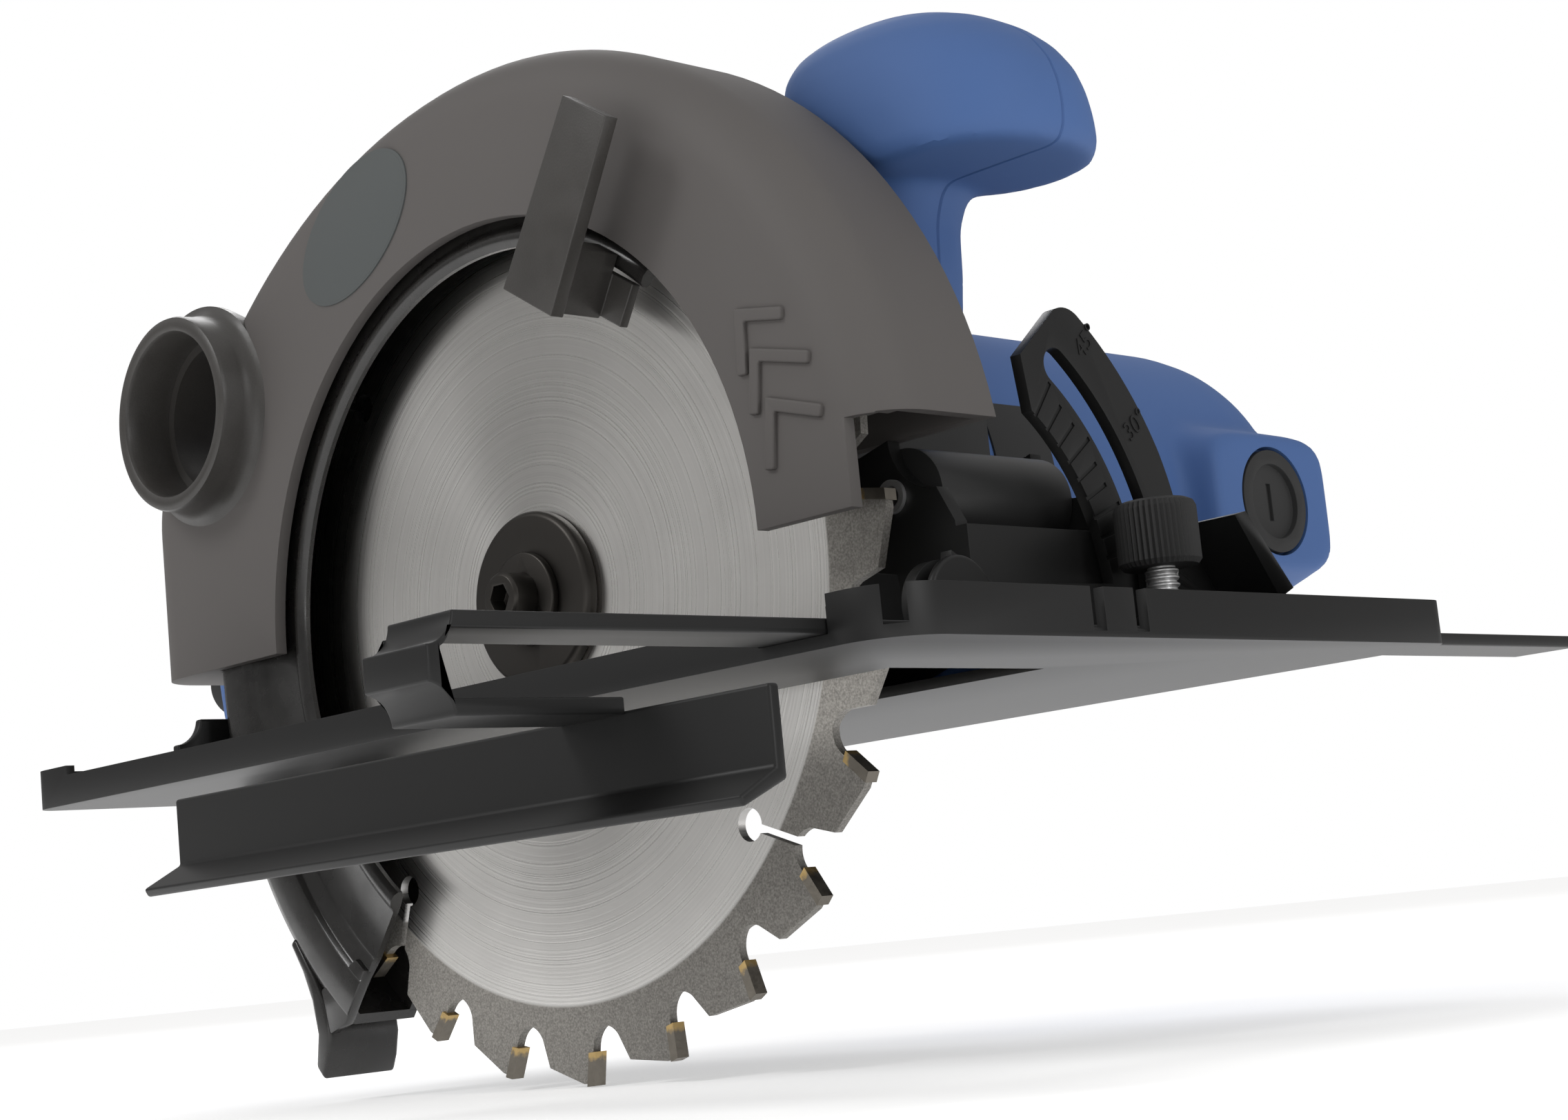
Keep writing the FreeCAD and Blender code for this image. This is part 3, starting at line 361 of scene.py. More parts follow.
GUARD = Finish("guard_plastic", "guard_plastic", (0.072, 0.066, 0.060), roughness=0.40, grain_size=0.55,
               grain_depth=0.10, mottling=0.16)
GUARD_SMOOTH = Finish("port_plastic", "guard_plastic", (0.045, 0.042, 0.039), roughness=0.4, grain_size=0.4,
                      grain_depth=0.02)
BADGE = Finish("badge_grey", "badge_grey", (0.026, 0.027, 0.026), roughness=0.5, grain_size=0.35,
               grain_depth=0.04)
LOWER = Finish("lower_guard_black", "black_plastic", (0.018, 0.017, 0.016), roughness=0.28, grain_size=1.4,
               grain_depth=0.006, mottling=0.15, coat=0.25)
CASTING = Finish("black_casting", "black_casting", (0.022, 0.021, 0.020), roughness=0.4, grain_size=0.9,
                 grain_depth=0.09, mottling=0.2, coat=0.3)
BLUE = Finish("blue_plastic", "blue_plastic", (0.036, 0.072, 0.200), roughness=0.40, grain_size=0.4,
              grain_depth=0.035, mottling=0.08)
BLACK = Finish("black_plastic", "black_plastic", (0.026, 0.025, 0.024), roughness=0.48, grain_size=0.5,
               grain_depth=0.05, mottling=0.12)
RUBBER = Finish("black_rubber", "black_rubber", (0.02, 0.02, 0.02), roughness=0.75, grain_size=0.4,
                grain_depth=0.05)
# The black steel carries a painted highlight along its convex edges.
LACQUER = Finish("black_steel", "black_steel", (0.009, 0.0085, 0.008), roughness=0.14, rough_spread=0.05,
                 grain=Grain.PEEL, grain_size=2.4, grain_depth=0.035, mottling=0.2, coat=0.7, painted_edge_highlight=0.25)
BRIGHT = Finish("bright_steel", "bright_steel", (0.60, 0.59, 0.57), roughness=0.3, metallic=1.0,
                grain=Grain.BRUSHED, grain_size=0.2, grain_depth=0.02)
OXIDE = Finish("black_oxide_steel", "black_oxide_steel", (0.052, 0.048, 0.043), roughness=0.36, metallic=0.75,
               grain=Grain.TURNED, grain_size=0.35, grain_depth=0.02, mottling=0.2)
CORE = Finish("core_steel", "core_steel", (0.3, 0.3, 0.31), roughness=0.45, metallic=1.0, grain=Grain.BRUSHED,
              grain_size=0.5, grain_depth=0.03)
COPPER = Finish("copper", "copper", (0.60, 0.27, 0.12), roughness=0.35, metallic=1.0, grain=Grain.BRUSHED,
                grain_size=0.4, grain_depth=0.05)
CARBON = Finish("carbon", "carbon", (0.03, 0.03, 0.03), roughness=0.7)


# ---- shaping -------------------------------------------------------------------------------

def lift(point: Point2, axis: Axis, level: float) -> Vector:
    """A point of a plane square to an axis, as a point in space.

    Args:
        point: the two coordinates in the plane, in the frame's order.
        axis: the axis square to the plane.
        level: the plane's place on that axis.

    Returns:
        The point in millimetres.
    """
    spot = list(point)
    spot.insert(axis.value, level)
    return Vector(spot)


def polar(radius: float, degrees: float, centre: Point2 = (0.0, 0.0)) -> Point2:
    """A point at a radius and an angle from a centre."""
    turn = math.radians(degrees)
    return (centre[0] + radius * math.cos(turn), centre[1] + radius * math.sin(turn))


@dataclass(frozen=True)
class Station:
    """One cross-section of a lofted form, in millimetres."""

    centre: Point3
    across: Point3
    along_width: Point3
    half_across: float
    half_width: float
    squareness: float = 2.6


class Form:
    """A mesh in millimetres while it is being shaped."""

    def __init__(self) -> None:
        """Starts an empty mesh."""
        self.bm = bmesh.new()

    def plate(self, corners: Sequence[Point2], axis: Axis, low: float, high: float, edge: float = 0.0,
              segments: int = 2, rounded: float = 0.0) -> None:
        """A flat outline given thickness along an axis, with its edges eased.

        Args:
            corners: the outline.
            axis: the direction of its thickness.
            low: the lower face's level.
            high: the upper face's level.
            edge: how far the sharp edges are eased.
            segments: steps in each eased edge.
            rounded: how far the outline's corners are rounded first.
        """
        face = self.bm.faces.new([self.bm.verts.new(lift(c, axis, low)) for c in corners])
        if rounded:
            made = bmesh.ops.bevel(self.bm, geom=list(face.verts), offset=rounded, affect="VERTICES",
                                   segments=5,
                                   profile=0.5, material=-1, clamp_overlap=True)
            face = max(made["faces"] + [f for f in self.bm.faces if f.is_valid and len(f.verts) > len(corners)],
                       key=lambda f: f.calc_area())
        made = bmesh.ops.extrude_face_region(self.bm, geom=[face], use_keep_orig=True)["geom"]
        verts = [g for g in made if isinstance(g, bmesh.types.BMVert)]
        bmesh.ops.translate(self.bm, vec=lift((0.0, 0.0), axis, high - low), verts=verts)
        edges = {e for v in verts for e in v.link_edges} | set(face.edges)
        faces = {f for e in edges for f in e.link_faces}
        bmesh.ops.recalc_face_normals(self.bm, faces=list(faces))
        if edge:
            self.ease(edges, edge, segments, 40.0)

    def ease(self, edges: Iterable[bmesh.types.BMEdge], width: float, segments: int, angle: float) -> None:
        """Bevels those of the edges whose faces turn by more than an angle in degrees."""
        limit = math.radians(angle)
        sharp = [e for e in edges if e.is_valid and len(e.link_faces) == 2 and e.calc_face_angle(0.0) > limit]
        bmesh.ops.bevel(self.bm, geom=sharp, offset=width, affect="EDGES", segments=segments, profile=0.5,
                        material=-1, clamp_overlap=True)

    def lathe(self, profile: Sequence[Point2], axis: Axis, centre: Point2, steps: int = 96,
              start: float = 0.0, sweep: float = 360.0, ring: bool = True) -> None:
        """Turns a profile of radius and level about an axis.

        Args:
            profile: radius and level of each point.
            axis: the axis of turning.
            centre: where the axis passes, in the plane square to it.
            steps: steps of the turn.
            start: first angle in degrees, from the plane's first axis towards its second.
            sweep: how far it turns in degrees.
            ring: True if the profile is a closed outline.
        """
        verts = []
        for radius, level in profile:
            verts.append(self.bm.verts.new(lift(polar(radius, start, centre), axis, level)))
        pairs = list(zip(verts, verts[1:])) + ([(verts[-1], verts[0])] if ring else [])
        edges = [self.bm.edges.new(pair) for pair in pairs]
        way = Vector(lift((0.0, 0.0), axis, -1.0 if axis is Axis.Y else 1.0))
        full = sweep >= 360.0
        bmesh.ops.spin(self.bm, geom=verts + edges, cent=lift(centre, axis, 0.0), axis=way,
                       angle=math.radians(sweep), steps=steps, use_merge=full)
        if not full:
            bmesh.ops.holes_fill(self.bm, edges=[e for e in self.bm.edges if e.is_boundary], sides=0)
        bmesh.ops.remove_doubles(self.bm, verts=self.bm.verts[:], dist=1e-4)
        bmesh.ops.recalc_face_normals(self.bm, faces=self.bm.faces[:])

    def loft(self, stations: Sequence[Station], closed: bool = False, segments: int = 24) -> None:
        """Joins cross-sections into one skin.

        Args:
            stations: the sections in order.
            closed: True if the last joins the first.
            segments: points round each section.
        """
        loops = []
        for station in stations:
            across, width = Vector(station.across).normalized(), Vector(station.along_width).normalized()
            made = bmesh.ops.create_circle(self.bm, segments=segments, radius=1.0, cap_ends=False)["verts"]
            for vert in made:
                angle = math.atan2(vert.co.y, vert.co.x)
                power = 2.0 / station.squareness
                first = math.copysign(abs(math.cos(angle)) ** power, math.cos(angle))
                second = math.copysign(abs(math.sin(angle)) ** power, math.sin(angle))
                vert.co = (Vector(station.centre) + across * station.half_across * first
                           + width * station.half_width * second)
            loops.append(list({e for v in made for e in v.link_edges}))
        pairs = list(zip(loops, loops[1:])) + ([(loops[-1], loops[0])] if closed else [])
        for one, two in pairs:
            bmesh.ops.bridge_loops(self.bm, edges=one + two)
        if not closed:
            bmesh.ops.holes_fill(self.bm, edges=loops[0] + loops[-1], sides=0)
        bmesh.ops.recalc_face_normals(self.bm, faces=self.bm.faces[:])

    def mesh(self, name: str) -> bpy.types.Mesh:
        """The finished mesh in metres."""
        bmesh.ops.scale(self.bm, vec=(MM, MM, MM), verts=self.bm.verts[:])
        data = bpy.data.meshes.new(name)
        self.bm.to_mesh(data)
        self.bm.free()
        return data


def settle(piece: bpy.types.Object) -> None:
    """Bakes a piece's modifiers into its mesh."""
    bpy.context.view_layer.update()
    evaluated = piece.evaluated_get(bpy.context.evaluated_depsgraph_get())
    data = bpy.data.meshes.new_from_object(evaluated)
    piece.modifiers.clear()
    piece.data = data


def fused(piece: bpy.types.Object, voxel: float, rounds: int) -> None:
    """Fuses overlapping forms into one moulded skin with soft inner corners.

    Args:
        piece: the object.
        voxel: the skin's step in millimetres.
        rounds: rounds of smoothing.
    """
    remesh = piece.modifiers.new("fuse", "REMESH")
    remesh.mode = "VOXEL"
    remesh.voxel_size = voxel * MM
    smooth = piece.modifiers.new("soften", "SMOOTH")
    smooth.factor = 0.5
    smooth.iterations = rounds
    settle(piece)


def halved(source: bpy.types.Object, name: str, level: float, keep_low: bool,
           edge: float) -> bpy.types.Object:
    """One side of a piece, cut at a level across Y, with its cut edge eased.

    Args:
        source: the whole piece.
        name: the new piece's name.
        level: where it is cut, in millimetres.
        keep_low: True to keep the lower side.
        edge: how far the cut edge is eased, in millimetres.

    Returns:
        The new object.
    """
    bm = bmesh.new()
    bm.from_mesh(source.data)
    made = bmesh.ops.bisect_plane(bm, geom=bm.verts[:] + bm.edges[:] + bm.faces[:],
                                  plane_co=(0, level * MM, 0),
                                  plane_no=(0, 1, 0), clear_outer=keep_low, clear_inner=not keep_low)
    rim = [g for g in made["geom_cut"] if isinstance(g, bmesh.types.BMEdge)]
    made = bmesh.ops.triangle_fill(bm, use_beauty=True, edges=rim,
                                   normal=(0, 1 if keep_low else -1, 0))["geom"]
    filled = [g for g in made if isinstance(g, bmesh.types.BMFace)]
    bmesh.ops.inset_region(bm, faces=filled, thickness=edge * MM, depth=0.0)
    outer = {v for f in filled for e in f.edges for v in e.verts}
    for vert in {v for e in rim if e.is_valid for v in e.verts} - outer:
        vert.co.y += (-edge if keep_low else edge) * MM
    data = bpy.data.meshes.new(name)
    bm.to_mesh(data)
    bm.free()
    return bpy.data.objects.new(name, data)


class Workshop:
    """Places finished pieces in the scene and keeps count of them."""

    def __init__(self) -> None:
        """Starts with no pieces."""
        self.count = 0

    def place(self, piece: bpy.types.Object, body: str, finish: Dressing, stands_for: Sequence[str] = (),
              sharp: float = 35.0) -> bpy.types.Object:
        """Shades a piece and makes it ride on its body.

        Args:
            piece: the object.
            body: the body it moves with.
            finish: its finish.
            stands_for: the CAD nodes it replaces.
            sharp: edges steeper than this many degrees stay crisp.

        Returns:
            The piece.
        """
        if piece.name not in bpy.context.scene.collection.objects:
            bpy.context.scene.collection.objects.link(piece)
        piece.data.materials.clear()
        piece.data.materials.append(finish.material())
        piece.data.shade_smooth()
        piece.data.set_sharp_from_angle(angle=math.radians(sharp))
        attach(piece, body)
        if stands_for:
            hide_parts(*stands_for)
        self.count += 1
        LOG.info("%-24s %6d faces", piece.name, len(piece.data.polygons))
        return piece

    def form(self, name: str, form: Form, body: str, finish: Dressing, stands_for: Sequence[str] = (),
             sharp: float = 35.0) -> bpy.types.Object:
        """Places a shaped form as a piece."""
        return self.place(bpy.data.objects.new(name, form.mesh(name)), body, finish, stands_for, sharp)

    def eased(self, node: str, finish: Dressing, width: float = 0.4, segments: int = 2,
              angle: float = 32.0) -> bpy.types.Object:
        """A copy of a CAD node with its sharp edges eased, in the node's stead.

        Args:
            node: the CAD node.
            finish: its finish.
            width: how far edges are eased, in millimetres.
            segments: steps in each eased edge.
            angle: edges steeper than this many degrees are eased.

        Returns:
            The new piece.
        """
        source = frame["nodes"][node]
        form = Form()
        form.bm.from_mesh(source.data)
        bmesh.ops.scale(form.bm, vec=(1 / MM,) * 3, verts=form.bm.verts[:])
        bmesh.ops.remove_doubles(form.bm, verts=form.bm.verts[:], dist=WELD)
        bmesh.ops.dissolve_limit(form.bm, angle_limit=math.radians(FLAT_ANGLE), verts=form.bm.verts[:],
                                 edges=form.bm.edges[:])
        form.ease(form.bm.edges[:], width, segments, angle)
        return self.form(node + "_eased", form, source["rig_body"], finish, [node])

    def dress(self, node: str, finish: Dressing) -> None:
        """Gives a CAD node its finish and leaves its shape alone."""
        data = frame["nodes"][node].data
        data.materials.clear()
        data.materials.append(finish.material())
        LOG.info("%-24s dressed", node)


SHOP = Workshop()


# ---- blade, flanges and drive --------------------------------------------------------------

@dataclass
class BladeDrive:
    """The blade, its clamping flanges and the gears behind them."""

    flange_edge: float = 0.35
    bolt_edge: float = 0.2

    def build(self) -> None:
        """Dresses the blade and eases the turned pieces."""
        SHOP.dress("saw_blade", BladeFinish())
        SHOP.dress("carbide_tips", TipFinish())
        for node in ("outer_flange", "bolt_washer", "inner_flange"):
            SHOP.eased(node, OXIDE, self.flange_edge)
        SHOP.eased("arbor_bolt", OXIDE, self.bolt_edge)
        for node in ("output_spindle", "driven_gear"):
            SHOP.dress(node, BRIGHT)


# ---- guards --------------------------------------------------------------------------------

@dataclass
class UpperGuard:
    """The fixed guard with its raised chevrons, plain badge and dust port."""

    face: float = -12.5
    port: Point2 = (-94.0, 55.0)
    bore: float = 17.5
    chevron_wide: float = 1.15
    chevron_high: float = 0.9
    chevron_edge: float = 0.5
    chevron_marks: tuple[tuple[Point2, Point2, Point2], ...] = (
        ((73.6, 37.4), (83.8, 35.4), (73.0, 26.9)),
        ((76.4, 29.8), (89.0, 26.6), (74.9, 19.6)),
        ((79.0, 20.6), (90.7, 17.0), (77.4, 9.5)))
    badge_half: Point2 = (20.0, 11.5)
    badge_lean: float = -28.0

    def chevrons(self) -> None:
        """Three raised direction marks low on the front of the guard."""
        form = Form()
        wide = self.chevron_wide
        for apex, right, down in self.chevron_marks:
            corner = Vector(apex)
            one, two = (Vector(right) - corner).normalized(), (Vector(down) - corner).normalized()
            side_one, side_two = Vector((-one.y, one.x)), Vector((two.y, -two.x))
            mitre = (one + two) * wide / max(0.3, abs(one.x * two.y - one.y * two.x))
            outline = [Vector(right) + side_one * wide, corner - mitre, Vector(down) + side_two * wide,
                       Vector(down) - side_two * wide, corner + mitre, Vector(right) - side_one * wide]
            form.plate([tuple(p) for p in outline], Axis.Y, self.face - self.chevron_high, self.face + 0.5,
                       edge=self.chevron_edge, segments=3, rounded=self.chevron_edge)
        SHOP.form("guard_chevrons", form, "saw_body", GUARD)

    def dust_port(self) -> None:
        """An open collar on a soft swelling of the guard."""
        bore = self.bore
        profile = [(bore, -10.0), (bore, -20.0), (bore + 0.4, -20.7), (bore + 1.1, -21.0),
                   (bore + 2.4, -21.0),
                   (bore + 3.2, -20.6), (bore + 3.5, -19.8), (bore + 3.7, -16.0), (bore + 4.3, -14.0),
                   (bore + 5.4, -12.9), (bore + 6.4, -12.45), (bore + 6.4, -11.0), (bore + 2.0, 4.0),
                   (bore - 2.0, 4.0), (bore - 2.0, -10.0)]
        form = Form()
        form.lathe(profile, Axis.Y, self.port, steps=128)
        SHOP.form("dust_port_collar", form, "saw_body", GUARD_SMOOTH, ["dust_port"])

    def badge(self) -> None:
        """A plain oval inlay with a fine rim."""
        low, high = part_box("badge_plate")
        middle = (low + high) / 2 / MM
        form = Form()
        half_x, half_z = self.badge_half
        lean = Matrix.Rotation(math.radians(self.badge_lean), 3, "Y")
        for grow, front, back in ((1.0, -0.35, 0.2), (0.965, -0.4, 0.1)):
            made = bmesh.ops.create_circle(form.bm, segments=96, radius=1.0, cap_ends=True)["verts"]
            for vert in made:
                spot = Vector((vert.co.x * half_x * grow, 0.0, vert.co.y * half_z * grow))
                vert.co = lean @ spot + Vector((middle.x, self.face + back, middle.z))
            faces = list({f for v in made for f in v.link_faces})
            top = bmesh.ops.extrude_face_region(form.bm, geom=faces, use_keep_orig=True)["geom"]
            verts = [g for g in top if isinstance(g, bmesh.types.BMVert)]
            bmesh.ops.translate(form.bm, vec=(0, front - back, 0), verts=verts)
        bmesh.ops.recalc_face_normals(form.bm, faces=form.bm.faces[:])
        form.ease(form.bm.edges[:], 0.12, 2, 50.0)
        SHOP.form("badge_inlay", form, "saw_body", BADGE, ["badge_plate"])

    def build(self) -> None:
        """Makes the fixed guard's pieces."""
        SHOP.eased("upper_guard", GUARD, 0.6, 3)
        self.chevrons()
        self.dust_port()
        self.badge()


@dataclass
class LowerGuard:
    """The swinging guard: a stepped ring with a rolled inner edge, a web and a flared lip."""

    first: float = 48.0
    sweep: float = 183.0
    rim: float = 99.5

    def build(self) -> None:
        """Makes the guard and its lever."""
        ring = [(99.4, 8.2), (99.5, -6.4), (99.1, -8.0), (98.0, -9.1), (96.4, -9.6), (89.4, -9.6),
                (88.4, -9.3),
                (87.9, -8.6), (87.2, -8.3), (84.0, -8.3), (83.4, -7.9), (82.8, -7.7), (72.2, -7.7),
                (71.4, -8.1),
                (70.6, -9.0), (69.4, -9.4), (68.0, -9.2), (67.2, -8.4), (67.2, -7.4), (68.2, -6.8),
                (71.0, -6.4),
                (83.0, -6.2), (88.0, -6.9), (96.0, -7.2), (97.0, -6.4), (97.1, 6.0), (97.1, 8.2)]
        form = Form()
        form.lathe(ring, Axis.Y, (0.0, 0.0), steps=140, start=self.first, sweep=self.sweep)
        web = [(22.0, 6.2), (97.6, 6.2), (97.6, 8.2), (22.0, 8.2)]
        form.lathe(web, Axis.Y, (0.0, 0.0), steps=140, start=self.first, sweep=self.sweep)
        form.lathe([(18.06, 5.4), (24.0, 5.4), (24.0, 11.0), (18.06, 11.0)], Axis.Y, (0.0, 0.0))
        last = self.first + self.sweep
        lip = [polar(97.1, last - 14.0), polar(99.5, last - 14.0), polar(100.4, last - 10.0),
               polar(102.6, last - 6.5), polar(106.6, last - 3.4), polar(112.4, last - 1.6),
               polar(112.9, last + 0.3),
               polar(109.0, last - 0.2), polar(104.4, last - 1.4), polar(100.6, last - 3.8), polar(98.2, last - 8.0)]
        form.plate(lip, Axis.Y, -9.6, 8.2, edge=0.9, segments=3)
        closing = [polar(86.0, last - 2.6), polar(98.8, last - 6.0), polar(104.0, last - 1.6),
                   polar(99.0, last + 0.2),
                   polar(86.0, last)]
        form.plate(closing, Axis.Y, -9.4, -7.0, edge=0.5, segments=2)
        SHOP.form("lower_guard_shell", form, "swing_guard", LOWER, ["lower_guard"], sharp=40.0)
        SHOP.eased("retract_lever", GUARD_SMOOTH, 1.0, 3)


# ---- motor and gearcase --------------------------------------------------------------------

@dataclass
class MotorUnit:
    """The motor housing with its brush bosses, the gearcase and what they hold."""

    centre: Point2 = (23.95, 12.47)
    radius: float = 42.0
    front: float = 56.0
    back: float = 166.0
    brush_y: float = 141.0
    floor: float = -24.8
    tail_start: float = 126.5
    tail_low: float = -12.0
    boss_face: float = 49.05
    boss_root: float = 24.0
    recess_radius: float = 11.7
    recess_depth: float = 6.4
    skin_step: float = 1.25
    skin_rounds: int = 5
    vent_start: float = 6.9
    vent_sweep: float = 17.8

    def housing(self) -> None:
        """A cylinder with a domed end and two brush bosses, moulded in one."""
        form = Form()
        outer = self.radius
        profile = [(0.0, self.front + 1.0), (outer - 1.4, self.front + 0.2), (outer - 0.4, self.front + 1.4),
                   (outer, self.front + 6.0), (outer, self.back - 20.0), (outer - 0.8, self.back - 13.0),
                   (outer - 2.4, self.back - 8.0), (outer - 5.2, self.back - 3.8),
                   (outer - 9.6, self.back - 1.2),
                   (outer - 16.0, self.back - 0.2), (0.0, self.back - 0.1)]
        form.lathe(profile, Axis.Y, self.centre, steps=120, ring=False)
        for way in (1.0, -1.0):
            face = self.centre[0] + way * self.boss_face
            root = self.centre[0] + way * self.boss_root
            rows = ((root, 27.0, 21.0, 4.5), (root + way * 12.0, 24.0, 18.5, 4.5),
                    (face - way * 1.2, 20.4, 14.6, 5.0), (face, 19.6, 13.8, 5.0))
            sections = [Station((x, self.brush_y, self.centre[1]), (0, 1, 0), (0, 0, 1), across, wide, square)
                        for x, across, wide, square in rows]
            form.loft(sections, segments=48)
        form.bm.normal_update()
        piece = bpy.data.objects.new("motor_housing_shell", form.mesh("motor_housing_shell"))
        bpy.context.scene.collection.objects.link(piece)
        fused(piece, self.skin_step, self.skin_rounds)
        self.cut(piece)
        SHOP.place(piece, "saw_body", BLUE, ["motor_housing"], sharp=40.0)

    def cut(self, piece: bpy.types.Object) -> None:
        """Cuts the flat floor and the brush cap recesses."""
        bm = bmesh.new()
        bm.from_mesh(piece.data)
        rise = self.tail_low - self.floor
        run = self.back + 1.0 - self.tail_start
        for normal in (Vector((0, 0, -1)), Vector((0, rise, -run))):
            made = bmesh.ops.bisect_plane(bm, geom=bm.verts[:] + bm.edges[:] + bm.faces[:],
                                          plane_co=(0, self.tail_start * MM, self.floor * MM),
                                          plane_no=normal.normalized(), clear_outer=True)
            rim = [g for g in made["geom_cut"] if isinstance(g, bmesh.types.BMEdge)]
            bmesh.ops.contextual_create(bm, geom=rim)
        bm.to_mesh(piece.data)
        bm.free()
        for way in (1.0, -1.0):
            face = self.centre[0] + way * self.boss_face
            tool = Form()
            bmesh.ops.create_cone(tool.bm, cap_ends=True, segments=96, radius1=self.recess_radius,
                                  radius2=self.recess_radius, depth=self.recess_depth,
                                  matrix=Matrix.Translation((face, self.brush_y, self.centre[1]))
                                  @ Matrix.Rotation(math.pi / 2, 4, "Y"))
            cutter = bpy.data.objects.new("recess_tool", tool.mesh("recess_tool"))
            bpy.context.scene.collection.objects.link(cutter)
            recess = piece.modifiers.new("recess", "BOOLEAN")
            recess.operation = "DIFFERENCE"
            recess.object = cutter
            recess.solver = "FAST"
            settle(piece)
            bpy.data.objects.remove(cutter)

    def panels(self) -> None:
        """A dark vent panel let into the housing's front."""
        form = Form()
        form.lathe([(self.radius - 2.0, 60.0), (self.radius + 0.25, 60.4), (self.radius + 0.35, 61.0),
                    (self.radius + 0.35, 77.0), (self.radius + 0.25, 77.6), (self.radius - 2.0, 78.0)],
                   Axis.Y, self.centre, steps=16, start=self.vent_start, sweep=self.vent_sweep)
        SHOP.form("vent_panel", form, "saw_body", BLACK)

    def build(self) -> None:
        """Makes the motor's and gearcase's pieces."""
        self.housing()
        self.panels()
        SHOP.eased("gear_housing", CASTING, 1.2, 3)
        for node in ("brush_cap_front", "brush_cap_rear"):
            SHOP.eased(node, BLACK, 0.35)
        for node in ("spindle_bearing_front", "spindle_bearing_rear", "motor_bearing_front",
                     "motor_bearing_rear",
                     "guard_spring", "motor_shaft", "drive_pinion"):
            SHOP.dress(node, BRIGHT)
        for node in ("stator_core", "armature_core"):
            SHOP.dress(node, CORE)
        for node in ("field_coil_upper", "field_coil_lower", "commutator"):
            SHOP.dress(node, COPPER)
        for node in ("carbon_brush_front", "carbon_brush_rear"):
            SHOP.dress(node, CARBON)
        for node in ("brush_holder_front", "brush_holder_rear", "cooling_fan"):
            SHOP.dress(node, BLACK)


# ---- handle --------------------------------------------------------------------------------

